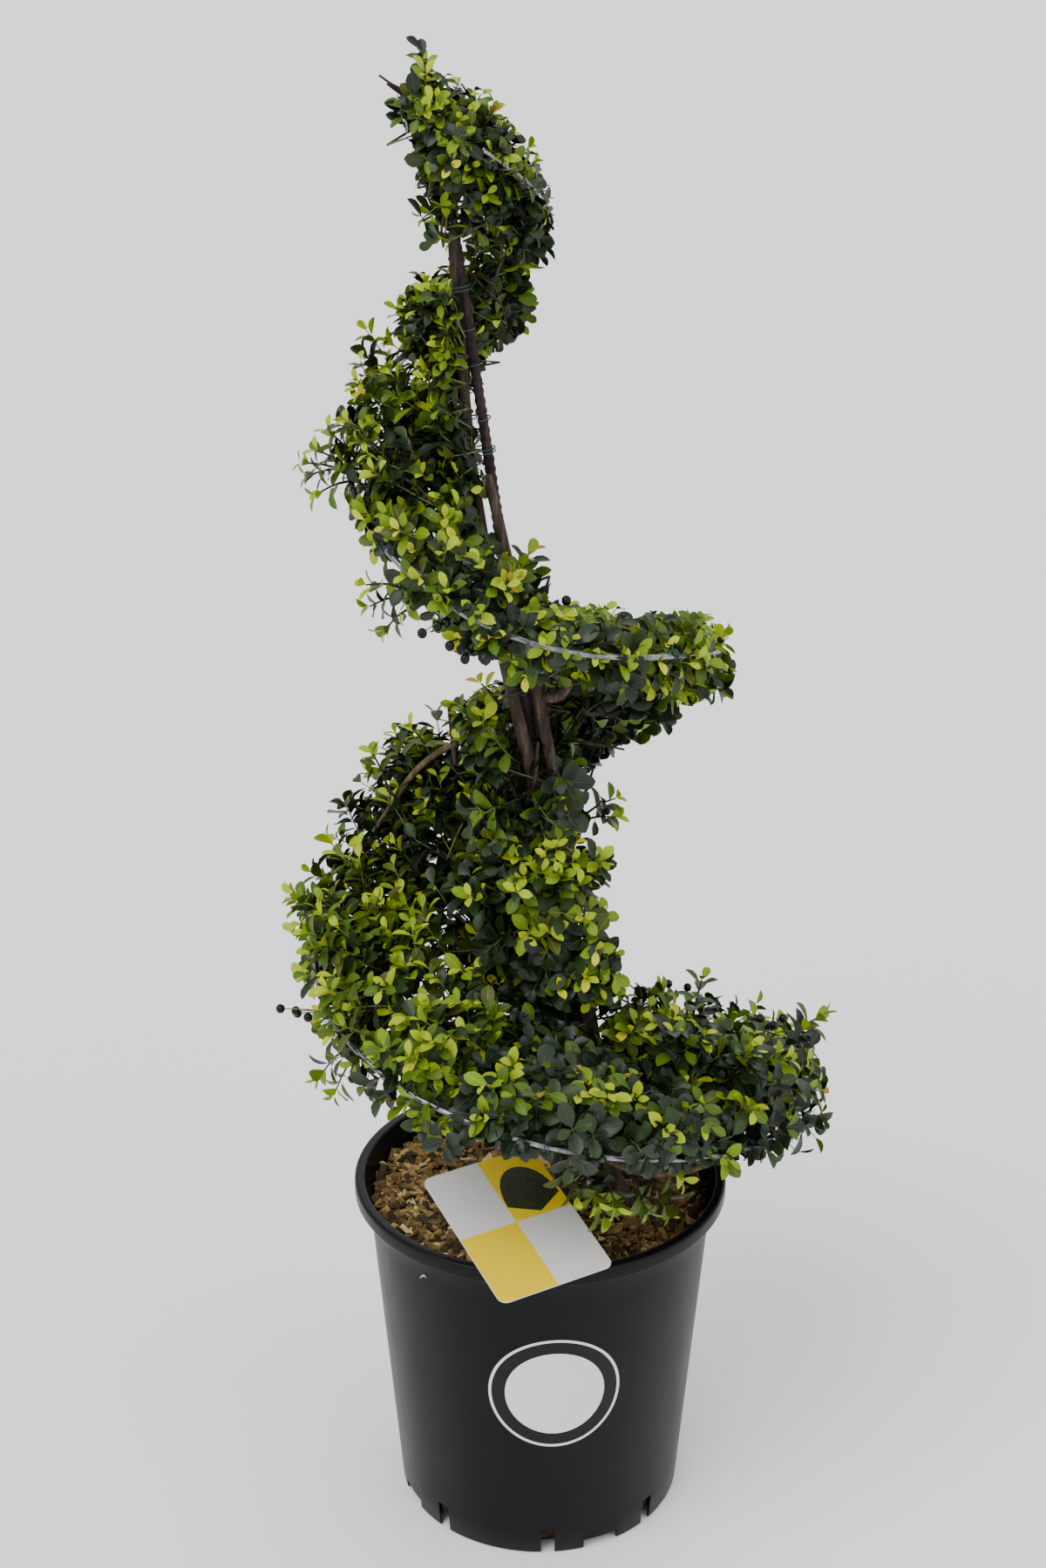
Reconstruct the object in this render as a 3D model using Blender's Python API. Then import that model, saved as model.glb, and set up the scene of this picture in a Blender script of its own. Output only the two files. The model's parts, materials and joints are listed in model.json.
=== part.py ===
"""Potted Japanese holly, trained as a spiral round a wire frame.

The plant is built the way it grows: a straight leader with four side stems
twined round it, boughs that leave the stems, and masses of foliage that fill
the spiral ramp between the stems and the wire.  The pot stands on its flat
underside at the origin, +Z is up and the plant's front faces -Y.
"""
import math

import bmesh
import bpy
import numpy as np
from mathutils import Euler
from mathutils.bvhtree import BVHTree

# Sizes, in metres. GAP is the clearance that touching solids keep.
GAP = 0.0003
SEED = 63

POT_HEIGHT = 0.286
POT_RIM_RADIUS = 0.150
POT_BASE_RADIUS = 0.116
POT_WALL_TOP_RADIUS = 0.139
POT_WALL = 0.002
POT_SIDES = 36
RIM_LIP_HEIGHT = 0.012
RIM_INNER_RADIUS = 0.1415
RIM_BEVEL = 0.001
SHOULDER_DROP = 0.002
SHOULDER_RISE = 0.003
INNER_SHOULDER_DROP = 0.004
WALL_FOOT_INSET = 0.0012
FLOOR_THICKNESS = 0.0025
FLOOR_RADIUS = 0.098
CHANNEL_HEIGHT = 0.010
SLOT_COUNT = 8
SLOT_START_DEG = 3.0
SLOT_SIZE = (0.011, 0.024)
SLOT_CUT = (0.020, POT_BASE_RADIUS - 0.001)
NOTCH_COUNT = 4
NOTCH_START_DEG = 25.0
NOTCH_SIZE = (0.030, 0.0085)
NOTCH_CUT = (0.012, POT_BASE_RADIUS + 0.001)
CUT_BELOW = 0.010

SOIL_TOP = 0.264
SOIL_CROWN = 0.004
SOIL_FLAT_RADIUS = 0.085
SOIL_WALL_GAP = 0.0005

CARD_SIZE = (0.096, 0.135)
CARD_THICKNESS = 0.0009
CARD_CORNER = 0.007
CARD_CENTRE = (-0.019, -0.1055, 0.3022)
CARD_TURN_DEG = (15.5, 20.6, 8.0)

# The wire frame: height and radius at each quarter turn of its spiral. It
# starts at the right, passes the front and climbs clockwise seen from above.
QUARTER_HEIGHTS = (0.350, 0.407, 0.482, 0.600, 0.724, 0.776, 0.882, 0.965, 1.045, 1.105, 1.140)
QUARTER_RADII = (0.165, 0.180, 0.191, 0.172, 0.150, 0.125, 0.098, 0.080, 0.063, 0.045, 0.024)
WIRE_RADIUS = 0.0024
WIRE_SIDES = 6
WIRE_RINGS = 7
WIRE_START = -0.18
WIRE_PIECES = 9
WIRE_PIECE_TURNS = 0.26
WIRE_LEG_FOOT = (0.045, 0.062)
WIRE_LEG_BEND = 0.014
WIRE_LEG_UPRIGHT = 0.030
WIRE_LEG_RINGS = 8

# The leader leans evenly to the left, and its tip curls over.
LEADER_FOOT = (0.0457, 0.0, SOIL_TOP + SOIL_CROWN + GAP)
LEADER_LEAN = -0.14
LEADER_STRAIGHT_TOP = 1.055
LEADER_TIP = (-0.104, -0.018, 1.126)
LEADER_RADII = (0.0068, 0.0026)
LEADER_FLARE = 0.0105
LEADER_RINGS = 18
LEADER_SIDES = 8
LEADER_BEND = (0.012, 0.0, 0.010)
FLARE_HEIGHT = 0.017
LEADER_TWIST_TURNS = 5.0

STEM_TOPS = (0.56, 0.72, 0.86, 1.02)
STEM_RADII = (0.0066, 0.0034)
STEM_FLARE = 0.011
STEM_FOOT_RING = 0.031
STEM_RING = 0.0152
STEM_FOOT_RISE = 0.07
STEM_RING_TAPER = 0.20
STEM_SIDES = 7
STEM_RINGS = (11, 2)
CARRY_BELOW_TOP = 0.003
STEM_TWIST_TURNS_PER_M = 1.1

BOUGH_SHARE = 0.42
BOUGH_RADII = (0.0042, 0.0026)
BOUGH_DROP = 0.035
BOUGH_LIFT = -0.004
BOUGH_LEAVES = 0.012
BOUGH_TURNS_UP = 0.62
BOUGH_RINGS = 7
BOUGH_SIDES = 5
STRAIGHT_START = 0.006
FORK_SHIFTS = (0.0, -0.008, 0.008, -0.016, 0.016, -0.024, 0.024)
FORK_WIDENINGS = (1.0, 1.05, 1.1, 1.15, 1.2, 1.3, 1.4, 1.5)

# A leaf is a thin lozenge, larger than life so that the few cover the crown.
LEAF_LENGTH = 0.052
LEAF_WIDTH = 0.62
LEAF_WIDEST = 0.56
LEAF_THICKNESS = 0.05
LEAF_DROOP = 0.04
LEAF_ROOT_OFFSET = 0.00015
LEAF_TRIES = 9
LEAF_TILT = 0.35
LEAF_SIZES = (0.88, 1.12)
LEAF_LIFT = 0.18
LEAF_LEANS = 0.6
LEAF_SIDE_AXIS = (0.31, 0.22, 0.92)
RETRY_TURN = 0.3
RETRY_SHRINK = 0.04
SIDE_LEAF_SHARE = 0.55
SIDE_LEAF_SPREAD = 1.05
TUFT_LEAVES = 3
TUFT_SPREAD = 0.75
TUFT_SINK = 0.0010
ROOT_STEP = 0.0022
ROOT_SHARE = 0.22
TWIG_RADII = (0.0014, 0.0009)
TWIG_TRIES = (1.0, 0.8, 0.6)
TWIG_SIDES = 3
TWIG_REACH = (0.20, 0.86)
TWIG_ROW = (0.25, 0.75)
TWIG_COLUMN = (0.3, 0.7)
TWIG_LIFTS = ((-0.65, 0.8, -0.1), (0.75, -0.7, 0.1))
TWIG_LIFT_SHARE = (0.75, 1.1)
TWIG_LAST_FORK = 1.2
MASS_STEM_RADII = (0.0024, 0.0012)
MASS_STEM_RINGS = 5
MASS_STEM_START = 0.010
MASS_STEM_TIP = (-0.030, 0.012)
MASS_STEM_ARCH = 0.006
BERRY_RADIUS = 0.0038
BERRY_SINK = 0.0011
SPACE_MARGIN = 0.0006
POT_CLEARANCE = 0.005
TOUCH_MARGIN = 0.0006

# Masses on the ramp: name, first and last turn, reach past the wire, rise over
# the wire, drop under it, twigs across and along, and whether a bough carries it.
RAMP_MASSES = (
    ("foliage_lower_right_back", -0.13, 0.00, 0.012, 0.060, 0.036, 3, 3, True),
    ("foliage_lower_right", 0.00, 0.11, 0.036, 0.066, 0.036, 3, 3, True),
    ("foliage_lower_right_front", 0.11, 0.22, 0.014, 0.032, 0.042, 3, 3, True),
    ("foliage_lower_front", 0.22, 0.33, 0.014, 0.034, 0.042, 3, 3, True),
    ("foliage_lower_left_front", 0.33, 0.44, 0.012, 0.040, 0.045, 3, 3, True),
    ("foliage_lower_left", 0.44, 0.55, 0.016, 0.042, 0.045, 3, 3, True),
    ("foliage_lower_left_back", 0.55, 0.67, 0.010, 0.034, 0.036, 3, 3, True),
    ("foliage_lower_back", 0.67, 0.83, 0.008, 0.036, 0.040, 3, 3, True),
    ("foliage_middle_right_back", 0.83, 0.96, 0.008, 0.038, 0.045, 3, 3, True),
    ("foliage_middle_right", 0.96, 1.09, 0.010, 0.038, 0.052, 3, 3, True),
    ("foliage_middle_right_front", 1.09, 1.23, 0.008, 0.034, 0.042, 3, 3, True),
    ("foliage_middle_front", 1.23, 1.38, 0.008, 0.045, 0.040, 3, 3, True),
    ("foliage_middle_left", 1.38, 1.54, 0.006, 0.050, 0.046, 3, 3, True),
    ("foliage_upper_left_back", 1.54, 1.72, 0.005, 0.044, 0.044, 3, 2, False),
    ("foliage_upper_back", 1.72, 1.92, 0.008, 0.040, 0.042, 3, 2, False),
    ("foliage_upper_right", 1.92, 2.10, 0.016, 0.045, 0.048, 3, 2, False),
    ("foliage_top_front", 2.10, 2.30, 0.014, 0.030, 0.042, 3, 2, False),
    ("foliage_top_tip", 2.30, 2.48, 0.012, 0.014, 0.034, 3, 2, False),
)
# Masses that clothe the stems between the turns: name, the way they face in
# degrees from the right towards the back, their heights and their reach.
STEM_MASSES = (
    ("foliage_stem_front_low", -75.0, 0.455, 0.590, 0.062),
    ("foliage_stem_front_high", -80.0, 0.590, 0.720, 0.056),
    ("foliage_stem_right_low", 15.0, 0.430, 0.560, 0.050),
    ("foliage_stem_right_high", 20.0, 0.560, 0.665, 0.046),
    ("foliage_stem_back_low", 105.0, 0.400, 0.540, 0.050),
    ("foliage_stem_left_high", -160.0, 0.555, 0.690, 0.058),
    ("foliage_stem_upper_left", -165.0, 0.840, 0.980, 0.044),
    ("foliage_stem_top", -110.0, 0.985, 1.080, 0.032),
)
STEM_MASS_WIDTH_DEG = 86.0
STEM_MASS_TWIGS = (2, 3)
STEM_MASS_TIP = (0.024, 0.036)
STEM_MASS_DROP = 0.02
RAMP_STEM_DROP = 0.010
BERRY_MASSES = ("foliage_lower_left", "foliage_middle_left")
BERRIES = 3

POT_COLOUR = (0.018, 0.018, 0.020)
SOIL_COLOUR = (0.11, 0.06, 0.03)
CARD_COLOUR = (0.86, 0.85, 0.80)
WIRE_COLOUR = (0.45, 0.46, 0.46)
BARK_COLOUR = (0.10, 0.065, 0.045)
LEAF_COLOUR = (0.10, 0.20, 0.035)


def clear_scene():
    for thing in list(bpy.data.objects):
        bpy.data.objects.remove(thing, do_unlink=True)


def make_material(name, colour, roughness, metallic=0.0):
    material = bpy.data.materials.new(name)
    material.use_nodes = True
    shader = material.node_tree.nodes["Principled BSDF"]
    shader.inputs["Base Color"].default_value = (*colour, 1.0)
    shader.inputs["Roughness"].default_value = roughness
    shader.inputs["Metallic"].default_value = metallic
    return material


def add_object(name, vertices, faces, material, smooth_deg=None):
    """One closed mesh as one named object."""
    mesh = bpy.data.meshes.new(name)
    mesh.from_pydata([tuple(v) for v in vertices], [], faces)
    mesh.materials.append(material)
    if smooth_deg is not None:
        mesh.shade_smooth()
        mesh.set_sharp_from_angle(angle=math.radians(smooth_deg))
    thing = bpy.data.objects.new(name, mesh)
    bpy.context.scene.collection.objects.link(thing)
    return thing


def unit(vector):
    vector = np.asarray(vector, float)
    return vector / max(np.linalg.norm(vector), 1e-12)


def smooth_values(stations, values, wanted):
    """A smooth curve through values at evenly spaced stations (Catmull-Rom)."""
    values = np.asarray(values, float)
    padded = np.concatenate(([2 * values[0] - values[1]], values, [2 * values[-1] - values[-2]]))
    step = stations[1] - stations[0]
    place = (np.asarray(wanted, float) - stations[0]) / step
    index = np.clip(np.floor(place).astype(int), 0, len(values) - 2)
    u = place - index
    a, b, c, d = (padded[index + k] for k in range(4))
    square = 2 * a - 5 * b + 4 * c - d
    cube = 3 * b - a - 3 * c + d
    inside = 0.5 * (2 * b + (c - a) * u + square * u**2 + cube * u**3)
    start = values[0] + (values[1] - values[0]) * place
    return np.where(place < 0, start, inside)


QUARTERS = np.arange(len(QUARTER_HEIGHTS)) / 4


def ramp_height(turn):
    return float(smooth_values(QUARTERS, QUARTER_HEIGHTS, turn))


def ramp_radius(turn):
    return float(smooth_values(QUARTERS, QUARTER_RADII, turn))


def axis_point(height):
    """The leaning axis of the spiral, which the leader follows."""
    return np.array([LEADER_FOOT[0] + LEADER_LEAN * (height - LEADER_FOOT[2]), LEADER_FOOT[1], height])


def outward(turn):
    angle = 2 * math.pi * turn
    return np.array([math.cos(angle), -math.sin(angle), 0.0])


def along(turn):
    angle = 2 * math.pi * turn
    return np.array([-math.sin(angle), -math.cos(angle), 0.0])


def ramp_point(turn, share, lift=0.0):
    """A point on the ramp: share 0 is on the axis and share 1 on the wire."""
    height = ramp_height(turn) + lift
    return axis_point(height) + outward(turn) * ramp_radius(turn) * share


def curve_through(points, count):
    """Evenly stepped points on a smooth curve through the given ones."""
    points = np.asarray(points, float)
    stations = np.arange(len(points))
    wanted = np.linspace(0, len(points) - 1, count)
    return np.column_stack([smooth_values(stations, points[:, k], wanted) for k in range(3)])


def tube(points, radii, sides, first_normal=None, last_normal=None, twist=0.0):
    """A closed limb along points: one ring a point, with a flat cut at each end."""
    points = np.asarray(points, float)
    tangents = np.gradient(points, axis=0)
    side = np.cross(unit(tangents[0]), (0.0, 0.0, 1.0))
    if np.linalg.norm(side) < 0.3:
        side = np.array([0.0, 1.0, 0.0])
    vertices = []
    for index, (point, tangent, radius) in enumerate(zip(points, tangents, radii)):
        tangent = unit(tangent)
        if index == 0 and first_normal is not None:
            tangent = unit(first_normal)
        if index == len(points) - 1 and last_normal is not None:
            tangent = unit(last_normal)
        side = unit(side - tangent * np.dot(side, tangent))
        other = np.cross(tangent, side)
        turn = twist * index / (len(points) - 1)
        for corner in range(sides):
            angle = 2 * math.pi * (corner / sides + turn)
            vertices.append(point + radius * (math.cos(angle) * side + math.sin(angle) * other))
    faces = [tuple(reversed(range(sides)))]
    for ring in range(len(points) - 1):
        for corner in range(sides):
            after = (corner + 1) % sides
            low, high = ring * sides, (ring + 1) * sides
            faces.append((low + corner, low + after, high + after, high + corner))
    last = (len(points) - 1) * sides
    faces.append(tuple(range(last, last + sides)))
    return vertices, faces


def leaf(root, direction, up, length):
    """A thin leaf of six faces: a lozenge with a raised midrib, its root first."""
    direction = unit(direction)
    across = unit(np.cross(up, direction))
    normal = np.cross(direction, across)
    half = 0.5 * LEAF_WIDTH * length
    middle = root + direction * LEAF_WIDEST * length
    vertices = [
        root + direction * LEAF_ROOT_OFFSET,
        middle - across * half,
        root + direction * length - normal * LEAF_DROOP * length,
        middle + across * half,
        middle + normal * LEAF_THICKNESS * length,
    ]
    faces = [(0, 1, 4), (1, 2, 4), (2, 3, 4), (3, 0, 4), (0, 3, 1), (1, 3, 2)]
    return vertices, faces


def berry(centre):
    mesh = bmesh.new()
    bmesh.ops.create_icosphere(mesh, subdivisions=1, radius=BERRY_RADIUS)
    vertices = [np.array(v.co) + centre for v in mesh.verts]
    faces = [tuple(v.index for v in face.verts) for face in mesh.faces]
    mesh.free()
    return vertices, faces


def turned_solid(name, profile, material, sides=POT_SIDES, closed=True):
    """A ring turned from a closed outline of (radius, height), or a solid whose
    outline starts and ends on the axis."""
    vertices = []
    faces = []
    rings = []
    for radius, height in profile:
        if radius == 0.0:
            rings.append([len(vertices)] * sides)
            vertices.append((0.0, 0.0, height))
            continue
        rings.append(list(range(len(vertices), len(vertices) + sides)))
        for corner in range(sides):
            angle = 2 * math.pi * corner / sides
            vertices.append((radius * math.cos(angle), radius * math.sin(angle), height))
    count = len(rings) if closed else len(rings) - 1
    for index in range(count):
        low, high = rings[index], rings[(index + 1) % len(rings)]
        for corner in range(sides):
            after = (corner + 1) % sides
            face = (low[corner], low[after], high[after], high[corner])
            faces.append(tuple(dict.fromkeys(face)))
    return add_object(name, vertices, faces, material, smooth_deg=35)


def cutter_box(name, size, centre, turn):
    """A guide box that cuts the pot and is left out of the build."""
    mesh = bpy.data.meshes.new(name)
    shape = bmesh.new()
    bmesh.ops.create_cube(shape, size=1.0)
    bmesh.ops.scale(shape, vec=size, verts=shape.verts)
    shape.to_mesh(mesh)
    shape.free()
    box = bpy.data.objects.new(name, mesh)
    box.location = centre
    box.rotation_euler = (0.0, 0.0, turn)
    box.hide_render = True
    box.display_type = "WIRE"
    return box


def make_pot():
    """A thin shell with a turned-down lip, drain slots and foot notches."""
    lip_bottom = POT_HEIGHT - RIM_LIP_HEIGHT
    channel_top = CHANNEL_HEIGHT + POT_WALL
    base_inner = POT_BASE_RADIUS - POT_WALL
    step_radius = FLOOR_RADIUS + POT_WALL
    profile = (
        (0.0, 0.0),
        (step_radius, 0.0),
        (step_radius + POT_WALL, CHANNEL_HEIGHT),
        (base_inner, CHANNEL_HEIGHT),
        (base_inner, 0.0),
        (POT_BASE_RADIUS, 0.0),
        (POT_WALL_TOP_RADIUS, lip_bottom - SHOULDER_DROP),
        (RIM_INNER_RADIUS + POT_WALL, lip_bottom + SHOULDER_RISE),
        (RIM_INNER_RADIUS + POT_WALL, POT_HEIGHT - POT_WALL),
        (POT_RIM_RADIUS - POT_WALL, POT_HEIGHT - POT_WALL),
        (POT_RIM_RADIUS - POT_WALL, lip_bottom),
        (POT_RIM_RADIUS, lip_bottom),
        (POT_RIM_RADIUS, POT_HEIGHT - RIM_BEVEL),
        (POT_RIM_RADIUS - RIM_BEVEL, POT_HEIGHT),
        (RIM_INNER_RADIUS, POT_HEIGHT),
        (RIM_INNER_RADIUS, lip_bottom + SHOULDER_RISE),
        (POT_WALL_TOP_RADIUS - POT_WALL, lip_bottom - INNER_SHOULDER_DROP),
        (base_inner + WALL_FOOT_INSET, channel_top),
        (step_radius, channel_top),
        (FLOOR_RADIUS, FLOOR_THICKNESS),
        (0.0, FLOOR_THICKNESS),
    )
    material = make_material("pot_plastic", POT_COLOUR, 0.42)
    pot = turned_solid("pot", profile, material, closed=False)
    cutters = bpy.data.collections.new("pot_cutters")
    bpy.context.scene.collection.children.link(cutters)
    cuts = (
        ("slot", SLOT_COUNT, SLOT_START_DEG, SLOT_SIZE, SLOT_CUT),
        ("notch", NOTCH_COUNT, NOTCH_START_DEG, NOTCH_SIZE, NOTCH_CUT),
    )
    for kind, count, start, (width, height), (depth, reach) in cuts:
        for index in range(count):
            turn = math.radians(start - 90.0 + 360.0 * index / count)
            centre = (reach * math.cos(turn), reach * math.sin(turn), 0.5 * (height - CUT_BELOW))
            size = (depth, width, height + CUT_BELOW)
            cutters.objects.link(cutter_box(f"{kind}_cutter_{index}", size, centre, turn))
    cut = pot.modifiers.new("drains", "BOOLEAN")
    cut.operand_type = "COLLECTION"
    cut.collection = cutters
    cut.operation = "DIFFERENCE"
    cut.solver = "EXACT"
    return pot


def make_soil():
    """The root ball: it fills the pot, and its top rises a little to the middle."""
    lip_bottom = POT_HEIGHT - RIM_LIP_HEIGHT
    channel_top = CHANNEL_HEIGHT + POT_WALL + GAP
    base_radius = POT_BASE_RADIUS - POT_WALL - SOIL_WALL_GAP
    wall_top = POT_WALL_TOP_RADIUS - POT_WALL - SOIL_WALL_GAP
    share = (SOIL_TOP - channel_top) / (lip_bottom - INNER_SHOULDER_DROP - channel_top)
    top_radius = base_radius + (wall_top - base_radius) * share
    profile = (
        (0.0, FLOOR_THICKNESS + GAP),
        (FLOOR_RADIUS - 2 * GAP, FLOOR_THICKNESS + GAP),
        (FLOOR_RADIUS + GAP, channel_top),
        (base_radius, channel_top),
        (top_radius, SOIL_TOP),
        (SOIL_FLAT_RADIUS, SOIL_TOP + SOIL_CROWN),
        (0.0, SOIL_TOP + SOIL_CROWN),
    )
    material = make_material("bark_and_peat", SOIL_COLOUR, 0.95)
    return turned_solid("soil", profile, material, closed=False)


def make_card():
    """The plain label card: a rounded sheet that leans on the rim."""
    shape = bmesh.new()
    half_x, half_y = CARD_SIZE[0] / 2 - CARD_CORNER, CARD_SIZE[1] / 2 - CARD_CORNER
    ring = []
    for corner in range(4):
        centre = (half_x * (1 if corner in (0, 3) else -1), half_y * (1 if corner < 2 else -1))
        for step in range(5):
            angle = math.radians(90 * corner + 22.5 * step)
            x = centre[0] + CARD_CORNER * math.cos(angle)
            y = centre[1] + CARD_CORNER * math.sin(angle)
            ring.append(shape.verts.new((x, y, 0.0)))
    face = shape.faces.new(ring)
    raised = bmesh.ops.extrude_face_region(shape, geom=[face])["geom"]
    top = [item for item in raised if isinstance(item, bmesh.types.BMVert)]
    bmesh.ops.translate(shape, verts=top, vec=(0.0, 0.0, CARD_THICKNESS))
    bmesh.ops.recalc_face_normals(shape, faces=shape.faces)
    mesh = bpy.data.meshes.new("label_card")
    shape.to_mesh(mesh)
    shape.free()
    mesh.materials.append(make_material("label_board", CARD_COLOUR, 0.35))
    card = bpy.data.objects.new("label_card", mesh)
    bpy.context.scene.collection.objects.link(card)
    tilt, yaw, spin = (math.radians(angle) for angle in CARD_TURN_DEG)
    turned = Euler((0.0, 0.0, yaw)).to_matrix() @ Euler((tilt, 0.0, 0.0)).to_matrix()
    turned = turned @ Euler((0.0, 0.0, spin)).to_matrix()
    card.rotation_euler = turned.to_euler()
    card.location = CARD_CENTRE
    return card


def wire_points(first, last, count):
    return np.array([ramp_point(turn, 1.0) for turn in np.linspace(first, last, count)])


def wire_way(turn):
    return unit(ramp_point(turn + 0.001, 1.0) - ramp_point(turn - 0.001, 1.0))


def make_wire():
    """The galvanised frame, in one piece for each quarter turn, with a leg to the soil."""
    material = make_material("galvanised_wire", WIRE_COLOUR, 0.38, 1.0)
    pieces = []
    for index in range(WIRE_PIECES):
        first = WIRE_START + index * WIRE_PIECE_TURNS
        last = first + WIRE_PIECE_TURNS
        rings = WIRE_RINGS if ramp_radius(first) > POT_BASE_RADIUS else WIRE_RINGS - 1
        points = wire_points(first, last, rings)
        points[-1] -= wire_way(last) * GAP
        ends = {"first_normal": wire_way(first), "last_normal": wire_way(last)}
        shape = tube(points, [WIRE_RADIUS] * rings, WIRE_SIDES, **ends)
        add_object(f"training_wire_{index + 1}", *shape, material, smooth_deg=50)
        pieces.append((shape, tube(points, [WIRE_RADIUS + TOUCH_MARGIN] * rings, WIRE_SIDES, **ends)))
    start = ramp_point(WIRE_START, 1.0)
    back = -wire_way(WIRE_START)
    foot = np.array([*WIRE_LEG_FOOT, SOIL_TOP + GAP])
    foot[2] += SOIL_CROWN * (np.hypot(*WIRE_LEG_FOOT) < SOIL_FLAT_RADIUS)
    way = [start + back * GAP, start + back * WIRE_LEG_BEND, foot + (0, 0, WIRE_LEG_UPRIGHT), foot]
    points = curve_through(way, WIRE_LEG_RINGS)
    points[1] = points[0] + back * STRAIGHT_START
    ends = {"first_normal": back, "last_normal": (0, 0, -1)}
    shape = tube(points, [WIRE_RADIUS] * WIRE_LEG_RINGS, WIRE_SIDES, **ends)
    add_object("training_wire_leg", *shape, material, smooth_deg=50)
    widened = tube(points, [WIRE_RADIUS + TOUCH_MARGIN] * WIRE_LEG_RINGS, WIRE_SIDES, **ends)
    pieces.append((shape, widened))
    return pieces


def leader_route():
    straight = [axis_point(z) for z in np.linspace(LEADER_FOOT[2], LEADER_STRAIGHT_TOP, LEADER_RINGS)]
    tip = np.array(LEADER_TIP)
    bend = 0.5 * (straight[-1] + tip) + LEADER_BEND
    curl = curve_through([straight[-2], straight[-1], bend, tip], 10)[4:]
    return np.vstack([straight, curl])


def leader_centre(height):
    """The middle of the leader at a height, its curled tip included."""
    route = leader_route()
    return np.array([np.interp(height, route[:, 2], route[:, k]) for k in range(3)])


def leader_radius(height):
    share = (height - LEADER_FOOT[2]) / (LEADER_TIP[2] - LEADER_FOOT[2])
    flare = (LEADER_FLARE - LEADER_RADII[0]) * math.exp(-(height - LEADER_FOOT[2]) / FLARE_HEIGHT)
    return LEADER_RADII[0] + (LEADER_RADII[1] - LEADER_RADII[0]) * share + flare


def stem_place(index, height):
    """The centre of a side stem at a height: it closes on the leader and twines."""
    above = height - LEADER_FOOT[2]
    settle = math.exp(-((above / STEM_FOOT_RISE) ** 2))
    taper = 1.0 - STEM_RING_TAPER * above / (STEM_TOPS[-1] - LEADER_FOOT[2])
    ring = STEM_RING * taper + (STEM_FOOT_RING - STEM_RING) * settle
    turn = 0.125 + index / len(STEM_TOPS) + STEM_TWIST_TURNS_PER_M * above
    return axis_point(height) + outward(turn) * ring


def stem_radius(index, height):
    above = height - LEADER_FOOT[2]
    share = above / (STEM_TOPS[index] - LEADER_FOOT[2])
    flare = (STEM_FLARE - STEM_RADII[0]) * math.exp(-above / FLARE_HEIGHT)
    return STEM_RADII[0] + (STEM_RADII[1] - STEM_RADII[0]) * share + flare


def make_stems():
    """The leader and the side stems, each with a flared foot cut flat on the soil."""
    material = make_material("holly_bark", BARK_COLOUR, 0.85)
    route = leader_route()
    radii = [leader_radius(point[2]) for point in route]
    up = (0, 0, 1)
    shape = tube(route, radii, LEADER_SIDES, first_normal=up, twist=LEADER_TWIST_TURNS)
    add_object("leader_stem", *shape, material, smooth_deg=60)
    widened = tube(route, [radius + TOUCH_MARGIN for radius in radii], LEADER_SIDES, first_normal=up)
    pieces = [(shape, widened)]
    for index, top in enumerate(STEM_TOPS):
        heights = np.linspace(LEADER_FOOT[2], top, STEM_RINGS[0] + STEM_RINGS[1] * index)
        route = [stem_place(index, z) for z in heights]
        radii = [stem_radius(index, z) for z in heights]
        shape = tube(route, radii, STEM_SIDES, first_normal=up)
        add_object(f"side_stem_{index + 1}", *shape, material, smooth_deg=60)
        widened = tube(route, [radius + TOUCH_MARGIN for radius in radii], STEM_SIDES, first_normal=up)
        pieces.append((shape, widened))
    return pieces


def carriers(height, direction):
    """The stems at a height, the one that faces a direction first."""
    found = [(0.0, leader_centre(height), leader_radius(height))]
    for index, top in enumerate(STEM_TOPS):
        if height < top - CARRY_BELOW_TOP:
            centre = stem_place(index, height)
            facing = float(np.dot(unit((centre - axis_point(height)) * (1, 1, 0)), direction))
            found.append((facing, centre, stem_radius(index, height)))
    return sorted(found, key=lambda carrier: -carrier[0])


def limb_from_stem(height, direction, route_from, shape_from, limb_trees):
    """The first limb, of those that could leave a stem near here, that clears the rest."""
    for widening in FORK_WIDENINGS:
        for shift in FORK_SHIFTS:
            for facing, centre, radius in carriers(height + shift, direction):
                route = route_from(centre, radius * widening)
                shape = shape_from(route)
                tree = search_tree(shape)
                if not any(tree.overlap(other) for other in limb_trees):
                    return route, shape
    raise ValueError("no stem can carry this limb")


def bough_shape(route, extra=0.0):
    radii = np.linspace(BOUGH_RADII[0], BOUGH_RADII[1], len(route)) + extra
    return tube(route, radii, BOUGH_SIDES, first_normal=route[1] - route[0])


def mass_stem_shape(route):
    radii = np.linspace(MASS_STEM_RADII[0], MASS_STEM_RADII[1], len(route))
    return tube(route, radii, TWIG_SIDES, first_normal=route[1] - route[0])


def make_bough(name, turn, material, limb_trees):
    """One tapering limb from a stem to where its mass begins."""
    end = ramp_point(turn, BOUGH_SHARE, BOUGH_LIFT)
    height = end[2] - BOUGH_DROP

    def route_from(centre, radius):
        way = unit((end - centre) * (1, 1, 0))
        start = centre + way * (radius + GAP)
        bend = start + (end - start) * BOUGH_TURNS_UP + (0, 0, BOUGH_LIFT)
        points = curve_through([start, start + way * BOUGH_LEAVES, bend, end], BOUGH_RINGS)
        points[1] = start + way * STRAIGHT_START
        return points

    route, shape = limb_from_stem(height, outward(turn), route_from, bough_shape, limb_trees)
    add_object(name, *shape, material, smooth_deg=60)
    limb_trees.append(search_tree(shape))
    return bough_shape(route, TOUCH_MARGIN), end, unit(route[-1] - route[-2])


def search_tree(shape):
    vertices, faces = shape
    return BVHTree.FromPolygons([tuple(v) for v in vertices], faces)


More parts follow.
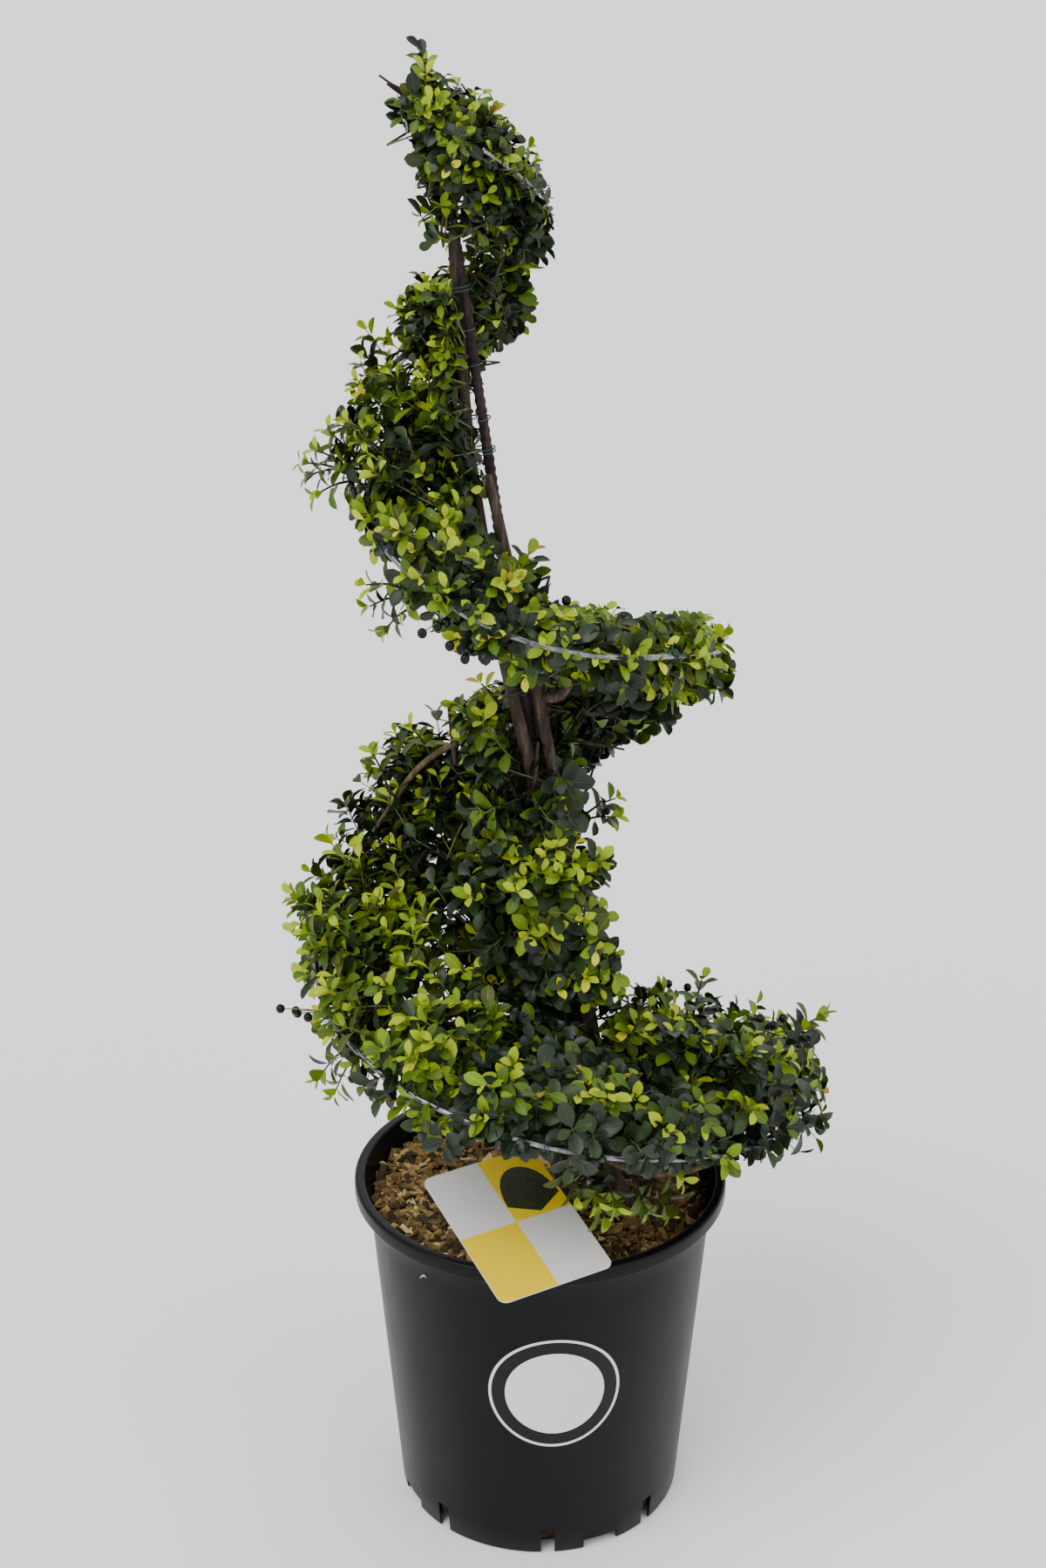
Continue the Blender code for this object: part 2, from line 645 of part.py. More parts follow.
class Space:
    """The room that one mass keeps to, as tests on a point."""

    def __init__(self, first, last, reach, low, high):
        self.first, self.last = first, last
        self.reach, self.low, self.high = reach, low, high

    def middle(self):
        return 0.5 * (self.first + self.last)

    def turn_of(self, point):
        offset = point - axis_point(point[2])
        middle = self.middle()
        turn = math.atan2(-offset[1], offset[0]) / (2 * math.pi)
        return turn + round(middle - turn)

    def holds(self, point):
        offset = point - axis_point(point[2])
        if np.dot(offset, along(self.first)) < SPACE_MARGIN:
            return False
        if np.dot(offset, along(self.last)) > -SPACE_MARGIN:
            return False
        turn = self.turn_of(point)
        if np.linalg.norm(offset) > self.reach(turn):
            return False
        return self.low(turn) <= point[2] <= self.high(turn)


class Growth:
    """Grows one mass: pieces that fit their space and touch nothing are kept."""

    def __init__(self, space, obstacles, random):
        self.space, self.obstacles, self.random = space, obstacles, random
        self.pieces = []
        self.trees = []
        self.berries = 0

    def fits(self, shape):
        vertices, faces = shape
        if not all(self.space.holds(np.asarray(v)) for v in vertices):
            return False
        own = search_tree(shape)
        return not any(own.overlap(tree) for tree in self.obstacles)

    def stands_free(self, shape):
        """Whether a leaf, past its root, crosses nothing else in its mass."""
        vertices, faces = shape
        past_root = vertices[0] + ROOT_SHARE * (vertices[2] - vertices[0])
        blade = search_tree(([past_root, *vertices[1:]], faces))
        return not any(blade.overlap(tree) for tree in self.trees)

    def keep(self, shape):
        self.pieces.append(shape)
        self.trees.append(search_tree(shape))

    def twig(self, start, end):
        """A straight twig from the stem, if what shows of it keeps to the space."""
        shape = tube([start, end], TWIG_RADII, TWIG_SIDES)
        if self.fits(shape):
            self.keep(shape)
            return True
        return False

    def leaves_along(self, start, end):
        """One leaf part of the way along a twig and a tuft at its tip."""
        tangent = unit(end - start)
        roll = self.random.uniform(0, 2 * math.pi)
        self.leaf_at(start + (end - start) * SIDE_LEAF_SHARE, tangent, roll, SIDE_LEAF_SPREAD)
        for corner in range(TUFT_LEAVES):
            turned = roll + (corner + 0.5) * 2 * math.pi / TUFT_LEAVES
            root = end - tangent * (TUFT_SINK + ROOT_STEP * corner)
            self.leaf_at(root, tangent, turned, TUFT_SPREAD)

    def hang_berry(self, start, end):
        fruit = berry(end - unit(end - start) * BERRY_SINK - (0, 0, BERRY_RADIUS - BERRY_SINK))
        if self.fits(fruit):
            self.keep(fruit)
            self.berries += 1

    def leaf_at(self, root, tangent, roll, spread):
        """One leaf at a node, turned a little at each try until it stands free."""
        side = unit(np.cross(tangent, LEAF_SIDE_AXIS))
        other = np.cross(tangent, side)
        sideways = math.cos(roll) * side + math.sin(roll) * other
        direction = unit(tangent * math.cos(spread) + sideways * math.sin(spread) + (0, 0, LEAF_LIFT))
        size = LEAF_LENGTH * self.random.uniform(*LEAF_SIZES)
        for attempt in range(LEAF_TRIES):
            tilt = self.random.normal(0, LEAF_TILT, 3)
            up = unit(np.array([0.0, 0.0, 1.0]) + LEAF_LEANS * tangent + tilt)
            way = unit(direction + RETRY_TURN * attempt * tilt)
            shape = leaf(root, way, up, size * (1.0 - RETRY_SHRINK * attempt))
            if self.fits(shape) and self.stands_free(shape):
                self.keep(shape)
                return


def join_pieces(name, pieces, material):
    """One solid from overlapping closed pieces, by one union on a collection."""
    first = add_object(name, *pieces[0], material)
    group = bpy.data.collections.new(name + "_pieces")
    bpy.context.scene.collection.children.link(group)
    parts = []
    for vertices, faces in pieces[1:]:
        part = add_object(name + "_piece", vertices, faces, material)
        bpy.context.scene.collection.objects.unlink(part)
        group.objects.link(part)
        parts.append(part)
    union = first.modifiers.new("union", "BOOLEAN")
    union.operand_type = "COLLECTION"
    union.collection = group
    union.operation = "UNION"
    for solver in ("EXACT", "MANIFOLD"):
        union.solver = solver
        bpy.context.view_layer.update()
        graph = bpy.context.evaluated_depsgraph_get()
        joined = bpy.data.meshes.new_from_object(first.evaluated_get(graph))
        if keep_largest_body(joined):
            break
    first.modifiers.remove(union)
    first.data = joined
    for part in parts:
        bpy.data.objects.remove(part, do_unlink=True)
    bpy.data.collections.remove(group)
    joined.name = name
    return first


def keep_largest_body(mesh):
    """Drops loose scraps and sealed bubbles, and tells whether the rest is closed."""
    shape = bmesh.new()
    shape.from_mesh(mesh)
    bmesh.ops.triangulate(shape, faces=shape.faces)
    shape.faces.index_update()
    seen = set()
    bodies = []
    for seed in shape.faces:
        if seed.index in seen:
            continue
        body = [seed]
        seen.add(seed.index)
        for face in body:
            for edge in face.edges:
                for other in edge.link_faces:
                    if other.index not in seen:
                        seen.add(other.index)
                        body.append(other)
        bodies.append(body)
    bodies.sort(key=len)
    loose = [face for body in bodies[:-1] for face in body]
    bmesh.ops.delete(shape, geom=loose, context="FACES")
    closed = all(edge.is_manifold for edge in shape.edges)
    shape.to_mesh(mesh)
    shape.free()
    return closed


def grow_mass(name, space, stem, grid, lifts, obstacles, material, random, berries=0):
    """One mass: a stem, a fan of twigs from it, and leaves on each twig."""
    growth = Growth(space, obstacles, random)
    growth.keep(mass_stem_shape(stem))
    across, out = grid
    for row in range(out):
        for column in range(across):
            share = (row + random.uniform(*TWIG_ROW)) / out
            place = (column + random.uniform(*TWIG_COLUMN)) / across
            turn = space.first + (space.last - space.first) * place
            lift = lifts[(row * across + column) % len(lifts)] * random.uniform(*TWIG_LIFT_SHARE)
            reach = space.reach(turn)
            floor, ceiling = space.low(turn), space.high(turn)
            height = 0.5 * (floor + ceiling) + lift * 0.5 * (ceiling - floor)
            share = TWIG_REACH[0] + (TWIG_REACH[1] - TWIG_REACH[0]) * share
            target = axis_point(height) + outward(turn) * reach * share
            fork_span = len(stem) - 1 - TWIG_LAST_FORK
            fork = 1.0 + fork_span * (row * across + column + 0.5) / (out * across)
            low = int(fork)
            start = stem[low] + (stem[low + 1] - stem[low]) * (fork - low)
            for length in TWIG_TRIES:
                end = start + length * (target - start)
                if growth.twig(start, end):
                    growth.leaves_along(start, end)
                    if row == out - 1 and growth.berries < berries:
                        growth.hang_berry(start, end)
                    break
    growth.leaves_along(stem[-2], stem[-1])
    return join_pieces(name, growth.pieces, material)


def ramp_space(first, last, overhang, rise, drop):
    return Space(
        first,
        last,
        lambda turn: ramp_radius(turn) + overhang,
        lambda turn: max(ramp_height(turn) - drop, POT_HEIGHT + POT_CLEARANCE),
        lambda turn: ramp_height(turn) + rise,
    )


def ramp_stem_route(turn, reach, start, way):
    """The route of a ramp mass's own stem, from its start out towards the wire."""
    inner = start + way * MASS_STEM_START
    tip = axis_point(ramp_height(turn) + MASS_STEM_TIP[1]) + outward(turn) * (reach + MASS_STEM_TIP[0])
    middle = 0.5 * (inner + tip) + (0, 0, MASS_STEM_ARCH)
    points = curve_through([start, inner, middle, tip], MASS_STEM_RINGS)
    points[1] = start + way * STRAIGHT_START
    return points


def plan_ramp_mass(row, bark, limb_trees, obstacles):
    """The room and the stem of one mass on the ramp, and the bough that bears it."""
    name, first, last, overhang, rise, drop, across, out, carried = row
    turn = 0.5 * (first + last)
    reach = ramp_radius(turn) + overhang
    if carried:
        bough, end, way = make_bough(name.replace("foliage", "bough"), turn, bark, limb_trees)
        obstacles.append(search_tree(bough))
        route = ramp_stem_route(turn, reach, end + way * GAP, way)
    else:
        height = ramp_height(turn) - RAMP_STEM_DROP
        grain = unit(leader_centre(height) - leader_centre(height - RAMP_STEM_DROP))
        way = unit(outward(turn) - grain * np.dot(outward(turn), grain))
        route, shape = limb_from_stem(
            height,
            way,
            lambda centre, radius: ramp_stem_route(turn, reach, centre + way * (radius + GAP), way),
            mass_stem_shape,
            limb_trees,
        )
    return name, ramp_space(first, last, overhang, rise, drop), route, (across, out)


def plan_stem_mass(row, limb_trees):
    """The room and the stem of one mass that clothes the stems."""
    name, facing, low, high, reach = row
    half = STEM_MASS_WIDTH_DEG / 720
    turn = -facing / 360
    space = Space(turn - half, turn + half, lambda t: reach, lambda t: low, lambda t: high)
    way = outward(turn)

    def route_from(centre, radius):
        start = centre + way * (radius + GAP)
        tip = start + way * STEM_MASS_TIP[0] + (0, 0, STEM_MASS_TIP[1])
        middle = 0.5 * (start + tip) + way * MASS_STEM_ARCH
        points = curve_through([start, start + way * MASS_STEM_START, middle, tip], MASS_STEM_RINGS)
        points[1] = start + way * STRAIGHT_START
        return points

    height = 0.5 * (low + high) - STEM_MASS_DROP
    route, shape = limb_from_stem(height, way, route_from, mass_stem_shape, limb_trees)
    return name, space, route, STEM_MASS_TWIGS


def make_masses(limbs):
    """All boughs and masses, each kept clear of what was grown before it."""
    bark = bpy.data.materials["holly_bark"]
    random = np.random.default_rng(SEED)
    limb_trees = [search_tree(limb) for limb, widened in limbs]
    obstacles = [search_tree(widened) for limb, widened in limbs]
    plans = [plan_ramp_mass(row, bark, limb_trees, obstacles) for row in RAMP_MASSES]
    plans += [plan_stem_mass(row, limb_trees) for row in STEM_MASSES]
    for index, (name, space, route, grid) in enumerate(plans):
        shade = 0.75 + 0.25 * ((index * 5) % 7) / 6
        colour = tuple(shade * channel for channel in LEAF_COLOUR)
        material = make_material(name + "_leaves", colour, 0.45)
        lifts = TWIG_LIFTS[index % 2]
        berries = BERRIES if name in BERRY_MASSES else 0
        mesh = grow_mass(name, space, route, grid, lifts, obstacles, material, random, berries).data
        corners = [vertex.co for vertex in mesh.vertices]
        obstacles.append(search_tree((corners, [tuple(face.vertices) for face in mesh.polygons])))


def main():
    clear_scene()
    make_pot()
    make_soil()
    make_card()
    limbs = make_wire() + make_stems()
    make_masses(limbs)


main()
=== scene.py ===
import json
import math

import bmesh
import bpy
import numpy as np
from mathutils import Euler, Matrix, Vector
from mathutils.bvhtree import BVHTree

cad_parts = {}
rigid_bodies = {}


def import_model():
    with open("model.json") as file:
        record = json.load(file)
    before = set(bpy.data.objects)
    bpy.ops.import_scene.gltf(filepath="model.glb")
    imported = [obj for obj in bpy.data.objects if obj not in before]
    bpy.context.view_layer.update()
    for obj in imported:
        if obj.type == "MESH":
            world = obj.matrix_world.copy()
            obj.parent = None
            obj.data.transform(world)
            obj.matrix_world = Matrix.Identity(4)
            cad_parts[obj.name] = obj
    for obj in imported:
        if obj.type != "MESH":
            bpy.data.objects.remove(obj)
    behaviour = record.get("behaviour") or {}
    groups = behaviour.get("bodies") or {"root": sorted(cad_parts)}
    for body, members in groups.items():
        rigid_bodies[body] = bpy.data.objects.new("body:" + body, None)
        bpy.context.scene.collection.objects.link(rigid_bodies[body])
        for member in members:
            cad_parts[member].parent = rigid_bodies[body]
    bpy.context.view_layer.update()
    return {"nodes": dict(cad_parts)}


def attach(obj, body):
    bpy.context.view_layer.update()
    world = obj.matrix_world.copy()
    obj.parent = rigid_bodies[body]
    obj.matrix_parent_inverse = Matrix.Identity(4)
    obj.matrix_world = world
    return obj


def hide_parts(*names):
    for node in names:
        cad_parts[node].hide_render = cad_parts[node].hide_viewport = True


# The looks of a potted Japanese holly, trained as a spiral round a wire frame.
# Everything is in metres, in the frame's own place: the pot stands on the origin.

SEED = 2207
random = np.random.default_rng(SEED)

# The spiral frame: height and radius at each quarter turn, from the right over
# the front. Its axis leans to the left, and the leader stands on it.
QUARTER_HEIGHTS = (0.350, 0.407, 0.482, 0.600, 0.724, 0.776, 0.882, 0.965, 1.045, 1.105, 1.140)
QUARTER_RADII = (0.165, 0.180, 0.191, 0.172, 0.150, 0.125, 0.098, 0.080, 0.063, 0.045, 0.024)
QUARTERS = np.arange(len(QUARTER_HEIGHTS)) / 4
SOIL_TOP = 0.268
LEADER_FOOT = (0.0457, 0.0, SOIL_TOP + 0.0003)
LEADER_LEAN = -0.14
LEADER_STRAIGHT_TOP = 1.055
LEADER_TIP = (-0.104, -0.018, 1.126)
LEADER_RADII = (0.0068, 0.0026)
STEM_TOPS = (0.56, 0.72, 0.86, 1.02)
STEM_RADII = (0.0066, 0.0034)
STEM_FOOT_RING = 0.031
STEM_RING = 0.0152
STEM_FOOT_RISE = 0.07
STEM_RING_TAPER = 0.20
STEM_TWIST_TURNS_PER_M = 1.1
LEADER_RINGS = 900
LEADER_TWIST = 76.0
LEADER_SIDES = 16
# From which share of its length the leader thins to its tip, and over how much of it.
LEADER_THINS = (0.93, 0.07)
STEM_SIDES = 22
TUBE_SIDES = 6
STEM_STEP = 0.0026
FLARE = 0.0105
FLARE_HEIGHT = 0.017

BOUGH_SHARE = 0.42
BOUGH_RADII = (0.0042, 0.0026)
BOUGH_DROP = 0.035
BOUGH_LIFT = -0.004
BOUGH_LEAVES = 0.012

WIRE_RADIUS = 0.0023
WIRE_START = -0.18
WIRE_END = 2.16
WIRE_LEG_FOOT = (0.045, 0.062)

# Masses on the ramp: name, first and last turn, reach past the wire, rise over
# the wire, drop under it, whether a bough carries it, shoots, share of young shoots.
RAMP_MASSES = (
    ("lower_right_back", -0.13, 0.00, 0.010, 0.070, 0.020, True, 118, 0.42),
    ("lower_right", 0.00, 0.11, 0.027, 0.074, 0.012, True, 130, 0.28),
    ("lower_right_front", 0.11, 0.22, 0.012, 0.036, 0.012, True, 108, 0.12),
    ("lower_front", 0.22, 0.33, 0.012, 0.036, 0.018, True, 116, 0.20),
    ("lower_left_front", 0.33, 0.44, 0.012, 0.042, 0.030, True, 128, 0.72),
    ("lower_left", 0.44, 0.55, 0.014, 0.058, 0.042, True, 132, 0.66),
    ("lower_left_back", 0.55, 0.67, 0.002, 0.084, 0.036, True, 146, 0.36),
    ("lower_back", 0.67, 0.83, 0.004, 0.068, 0.040, True, 138, 0.25),
    ("middle_right_back", 0.83, 0.96, 0.008, 0.036, 0.040, True, 75, 0.45),
    ("middle_right", 0.96, 1.09, 0.006, 0.026, 0.036, True, 88, 0.68),
    ("middle_right_front", 1.09, 1.23, 0.006, 0.022, 0.030, True, 70, 0.58),
    ("middle_front", 1.23, 1.38, 0.008, 0.042, 0.038, True, 75, 0.58),
    ("middle_left", 1.38, 1.54, 0.004, 0.050, 0.034, True, 80, 0.62),
    ("upper_left_back", 1.54, 1.72, 0.000, 0.046, 0.044, False, 70, 0.60),
    ("upper_back", 1.72, 1.89, 0.000, 0.040, 0.042, False, 58, 0.50),
    ("upper_right", 1.92, 2.10, 0.000, 0.045, 0.034, False, 64, 0.48),
    ("top_front", 2.10, 2.30, 0.001, 0.042, 0.042, False, 60, 0.52),
    ("top_tip", 2.25, 2.41, 0.004, -0.009, 0.024, False, 18, 0.60),
)
# Masses that clothe the stems: name, the way they face in degrees from the right
# towards the back, their heights, reach and width in degrees, shoots, young share.
STEM_MASSES = (
    ("stem_front_low", -80.0, 0.455, 0.590, 0.060, 86, 82, 0.76),
    ("stem_front_high", -80.0, 0.590, 0.715, 0.050, 86, 34, 0.70),
    ("stem_right_low", 15.0, 0.430, 0.560, 0.038, 86, 52, 0.48),
    ("stem_right_high", 20.0, 0.560, 0.665, 0.036, 86, 46, 0.50),
    ("stem_back_low", 105.0, 0.400, 0.540, 0.050, 86, 50, 0.40),
    ("stem_left_high", -160.0, 0.555, 0.690, 0.058, 86, 60, 0.56),
    ("stem_upper_left", -150.0, 0.840, 0.996, 0.042, 125, 92, 0.58),
    ("stem_top", -110.0, 1.018, 1.085, 0.026, 86, 32, 0.56),
)
# Shoots between the masses, in the same terms, which belong to no one mass.
LOOSE_SHOOTS = (
    ("left_gap", -165.0, 0.485, 0.560, 0.084, 60, 42, 0.55),
    ("right_foot", -8.0, 0.398, 0.440, 0.086, 70, 42, 0.75),
    ("leader_foot", -40.0, 0.746, 0.802, 0.030, 150, 32, 0.62),
)

# Where the stems stay bare in front: aside from the leader, from left to right, and
# from which height to which.
BARE_WINDOWS = (
    (-0.003, 0.011, 0.822, 1.020),
    (-0.018, 0.030, 0.675, 0.728),
)
# Where the foliage in front of the stems stays old and dark, in the same terms: its own dark old leaves, and
# painted shade for the deep shade in front of the stems there.
SHADED = ((-0.044, 0.012, 0.375, 0.505),)
# How far in front of the leader the windows reach.
WINDOW_DEPTH = 0.09
# How far behind the axis, seen from its mass, a shoot may start.
FAR_SIDE = 0.009
# How many shoots are set over the wire, by mass, and in the other masses.
WIRE_COVERS = {
    "lower_right": 0,
    "lower_right_front": 0,
    "lower_front": 0,
    "lower_left_front": 3,
    "middle_front": 8,
    "middle_left": 18,
    "upper_right": 44,
    "top_front": 40,
}
OTHER_COVERS = 7
# Below this height the masses along the wire have no leaves.
LOWEST_LEAVES = 0.291
# Shoots that stand out of the clipped outline: where they start and end.
SPRIGS = (
    ((-0.132, -0.020, 0.862), (-0.170, -0.020, 0.871)),
    ((-0.128, -0.016, 0.866), (-0.150, -0.020, 0.893)),
    ((0.120, 0.000, 0.425), (0.126, 0.000, 0.456)),
    ((0.196, 0.000, 0.405), (0.220, 0.000, 0.424)),
    ((-0.150, -0.030, 0.500), (-0.178, -0.030, 0.512)),
    ((-0.085, 0.060, 0.620), (-0.100, 0.056, 0.645)),
    ((-0.120, 0.050, 0.600), (-0.130, 0.045, 0.628)),
    ((-0.030, 0.000, 0.680), (-0.045, 0.000, 0.700)),
    ((0.034, 0.000, 0.596), (0.056, -0.004, 0.610)),
    ((-0.096, -0.080, 0.790), (-0.120, -0.084, 0.784)),
    ((-0.092, -0.080, 0.782), (-0.110, -0.088, 0.768)),
    ((-0.098, -0.080, 0.796), (-0.122, -0.086, 0.800)),
    ((-0.132, -0.020, 0.862), (-0.158, -0.030, 0.882)),
    ((-0.134, -0.020, 0.858), (-0.160, -0.030, 0.850)),
    ((-0.134, -0.018, 0.866), (-0.166, -0.022, 0.862)),
    ((-0.150, -0.056, 0.425), (-0.168, -0.066, 0.408)),
    ((-0.146, -0.058, 0.415), (-0.158, -0.070, 0.393)),
    ((0.030, 0.000, 0.590), (0.056, -0.012, 0.598)),
    ((0.004, -0.034, 0.462), (0.012, -0.056, 0.476)),
    ((0.020, -0.034, 0.466), (0.032, -0.054, 0.484)),
    ((0.084, -0.116, 0.370), (0.104, -0.130, 0.356)),
    ((0.078, -0.114, 0.356), (0.094, -0.130, 0.328)),
    ((0.066, -0.114, 0.352), (0.078, -0.130, 0.330)),
    ((0.028, -0.128, 0.370), (0.040, -0.148, 0.348)),
    ((0.044, -0.126, 0.366), (0.054, -0.146, 0.344)),
    ((0.014, -0.130, 0.370), (0.024, -0.150, 0.354)),
    ((0.036, -0.122, 0.352), (0.046, -0.140, 0.330)),
)
# Where fruit hangs, and how many are together.
FRUIT = (
    ((-0.184, -0.075, 0.467), 4),
    ((-0.132, -0.086, 0.412), 2),
    ((-0.072, -0.124, 0.782), 3),
    ((-0.052, -0.126, 0.764), 4),
    ((0.016, -0.090, 0.790), 1),
    ((0.176, -0.040, 0.436), 5),
    ((0.050, 0.110, 0.560), 3),
    ((0.120, 0.060, 0.420), 2),
)
# Bare, dead ends: start, end and radius.
DEAD_TWIGS = (
    ((-0.066, 0.048, 0.618), (-0.071, 0.050, 0.668), 0.0024),
    ((0.030, -0.004, 0.655), (0.062, -0.006, 0.650), 0.0012),
    ((0.050, -0.005, 0.652), (0.060, -0.012, 0.658), 0.0008),
    ((-0.064, 0.030, 0.640), (-0.066, 0.030, 0.668), 0.0020),
    ((-0.088, -0.018, 1.121), (-0.1094, -0.018, 1.131), 0.0011),
    ((0.180, 0.010, 0.350), (0.206, 0.004, 0.352), 0.0010),
)
# Old boughs tied along the frame and across the back of the lower turn.
OLD_BOUGHS = (
    ((0.000, 0.022, 0.655), (-0.055, 0.045, 0.640), (-0.095, 0.058, 0.612), (-0.132, 0.052, 0.560)),
    ((0.030, -0.030, 0.330), (0.075, -0.115, 0.352), (0.125, -0.118, 0.362), (0.182, -0.060, 0.366)),
)

LEAF_LENGTH = 0.0194
LEAF_WIDTHS = (0.59, 0.51)
LEAF_FOLD = 0.40
LEAF_SHRINK = 0.30
LEAF_PIECES = 4
LEAF_PAIR_STEP = 0.0058
LEAF_PAIRS = (3, 5)
LEAF_SIZES = ((0.72, 0.96, 1.06), (0.64, 0.88, 0.98))
SHOOT_LENGTH = (0.024, 0.042)
LEAF_OVERHANG = 0.006
SHOOT_INSET = 0.006
FEWEST_LEAVES = 3
GOLDEN_TURN = 0.618034
TWIG_LEAVES = 0.010
BERRY_RADIUS = 0.0035

# The camera: its place, how far it looks down and its lens.
CAMERA_PLACE = (-0.0139, -1.537, 1.208)
CAMERA_PITCH_DEG = 20.93
CAMERA_LENS_MM = 50.0
CAMERA_SENSOR_MM = 36.0
# The suns: name, place that they shine from, spread in degrees and power.
SUNS = (
    ("key", (-1.5, -1.7, 2.6), 45.0, 2.1),
    ("fill", (2.2, -1.4, 1.6), 60.0, 0.8),
    ("back", (0.8, 2.2, 2.0), 60.0, 0.7),
)


# Materials

def fill(node, values):
    for socket, value in values.items():
        node.inputs[socket].default_value = value


def new_material(name, colour, roughness, metallic=0.0, specular=0.5):
    """A principled material, with its node tree and shader for further work."""
    material = bpy.data.materials.new(name)
    material.use_nodes = True
    shader = material.node_tree.nodes["Principled BSDF"]
    fill(shader, {"Base Color": (*colour, 1.0), "Roughness": roughness})
    fill(shader, {"Metallic": metallic, "Specular IOR Level": specular})
    return material, material.node_tree, shader


def noise(tree, scale, detail=4.0, stretch=(1.0, 1.0, 1.0), rough=0.55):
    """A noise texture on object coordinates; its output is its Fac socket."""
    place = tree.nodes.new("ShaderNodeTexCoord")
    shape = tree.nodes.new("ShaderNodeMapping")
    fill(shape, {"Scale": stretch})
    texture = tree.nodes.new("ShaderNodeTexNoise")
    fill(texture, {"Scale": scale, "Detail": detail, "Roughness": rough})
    tree.links.new(place.outputs["Object"], shape.inputs["Vector"])
    tree.links.new(shape.outputs["Vector"], texture.inputs["Vector"])
    return texture.outputs["Fac"]


def paint(tree, shader, tone, stops):
    """Colours a shader by a tone, through a ramp of (place, colour) stops."""
    node = tree.nodes.new("ShaderNodeValToRGB")
    elements = node.color_ramp.elements
    for element, (place, colour) in zip(elements, (stops[0], stops[-1])):
        element.position = place
        element.color = (*colour, 1.0)
    for place, colour in stops[1:-1]:
        elements.new(place).color = (*colour, 1.0)
    tree.links.new(tone, node.inputs["Fac"])
    tree.links.new(node.outputs["Color"], shader.inputs["Base Color"])


def vary_roughness(tree, shader, tone, low, high):
    node = tree.nodes.new("ShaderNodeMapRange")
    fill(node, {"To Min": low, "To Max": high})
    tree.links.new(tone, node.inputs["Value"])
    tree.links.new(node.outputs["Result"], shader.inputs["Roughness"])


def bump(tree, shader, tone, strength, distance):
    node = tree.nodes.new("ShaderNodeBump")
    fill(node, {"Strength": strength, "Distance": distance})
    tree.links.new(tone, node.inputs["Height"])
    tree.links.new(node.outputs["Normal"], shader.inputs["Normal"])


def grained_material(name, colour, roughness, specular, grain, strength, distance):
    """A plain print with a fine grain, which is the scale and detail of its noise."""
    material, tree, shader = new_material(name, colour, roughness, specular=specular)
    bump(tree, shader, noise(tree, *grain), strength, distance)
    return material


def pot_material():
    material, tree, shader = new_material("pot_plastic", (0.005, 0.005, 0.006), 0.32, specular=0.13)
    stops = ((0.30, (0.0026, 0.0024, 0.0029)), (0.75, (0.0062, 0.0058, 0.0066)))
    paint(tree, shader, noise(tree, 9.0, 6.0, (1.0, 1.0, 0.6)), stops)
    vary_roughness(tree, shader, noise(tree, 26.0, 5.0, (1.0, 1.0, 0.35)), 0.26, 0.48)
    bump(tree, shader, noise(tree, 420.0, 3.0), 0.10, 0.0004)
    return material


def soil_material():
    material, tree, shader = new_material("bark_and_peat", (0.05, 0.03, 0.02), 0.95, specular=0.2)
    stops = ((0.30, (0.006, 0.004, 0.003)), (0.52, (0.030, 0.017, 0.010)), (0.75, (0.085, 0.048, 0.026)))
    paint(tree, shader, noise(tree, 130.0, 8.0, rough=0.7), stops)
    bump(tree, shader, noise(tree, 240.0, 8.0, rough=0.75), 0.9, 0.004)
    return material


# The chips' tones: name, dark and light, and the share of each.
CHIP_TONES = (
    ("chip_dark", (0.017, 0.011, 0.006), (0.077, 0.050, 0.022)),
    ("chip_brown", (0.064, 0.039, 0.014), (0.231, 0.143, 0.050)),
    ("chip_russet", (0.118, 0.070, 0.022), (0.392, 0.246, 0.081)),
    ("chip_tan", (0.238, 0.157, 0.050), (0.658, 0.469, 0.171)),
    ("chip_pale", (0.434, 0.316, 0.118), (0.800, 0.700, 0.308)),
)
CHIP_SHARES = (0.26, 0.30, 0.24, 0.14, 0.06)


def chip_material(name, dark, light):
    material, tree, shader = new_material(name, light, 0.88, specular=0.25)
    paint(tree, shader, noise(tree, 160.0, 7.0, (1.0, 2.6, 1.0), 0.7), ((0.32, dark), (0.68, light)))
    bump(tree, shader, noise(tree, 420.0, 6.0, (1.0, 3.0, 1.0), 0.7), 0.6, 0.0012)
    return material


# The barks' tones: dark, middle and light.
BARKS = {
    "bark_leader": ((0.010, 0.007, 0.007), (0.030, 0.020, 0.019), (0.078, 0.054, 0.048)),
    "bark_stems": ((0.018, 0.012, 0.009), (0.066, 0.046, 0.034), (0.185, 0.140, 0.100)),
    "bark_old_boughs": ((0.045, 0.032, 0.016), (0.120, 0.088, 0.044), (0.260, 0.200, 0.110)),
    "bark_twigs": ((0.015, 0.011, 0.008), (0.046, 0.034, 0.024), (0.120, 0.090, 0.060)),
}


def bark_material(name):
    """Fibrous bark: long streaks of three browns with a rough surface."""
    tones = BARKS[name]
    material, tree, shader = new_material(name, tones[1], 0.88, specular=0.2)
    stops = tuple(zip((0.30, 0.52, 0.74), tones))
    paint(tree, shader, noise(tree, 210.0, 8.0, (1.0, 1.0, 0.16), 0.68), stops)
    bump(tree, shader, noise(tree, 420.0, 8.0, (1.0, 1.0, 0.20), 0.7), 0.8, 0.0012)
    return material


WIRE_COLOUR = (0.42, 0.43, 0.44)
WIRE_TONES = ((0.30, (0.11, 0.115, 0.12)), (0.55, (0.25, 0.26, 0.27)), (0.72, (0.46, 0.47, 0.48)))
# The wire's shades, plain and darker, and between which turns it is darker.
WIRE_SHADES = (("wire_zinc", 1.0), ("wire_worn", 0.22))
DARKER_TURNS = (1.37, 1.68)


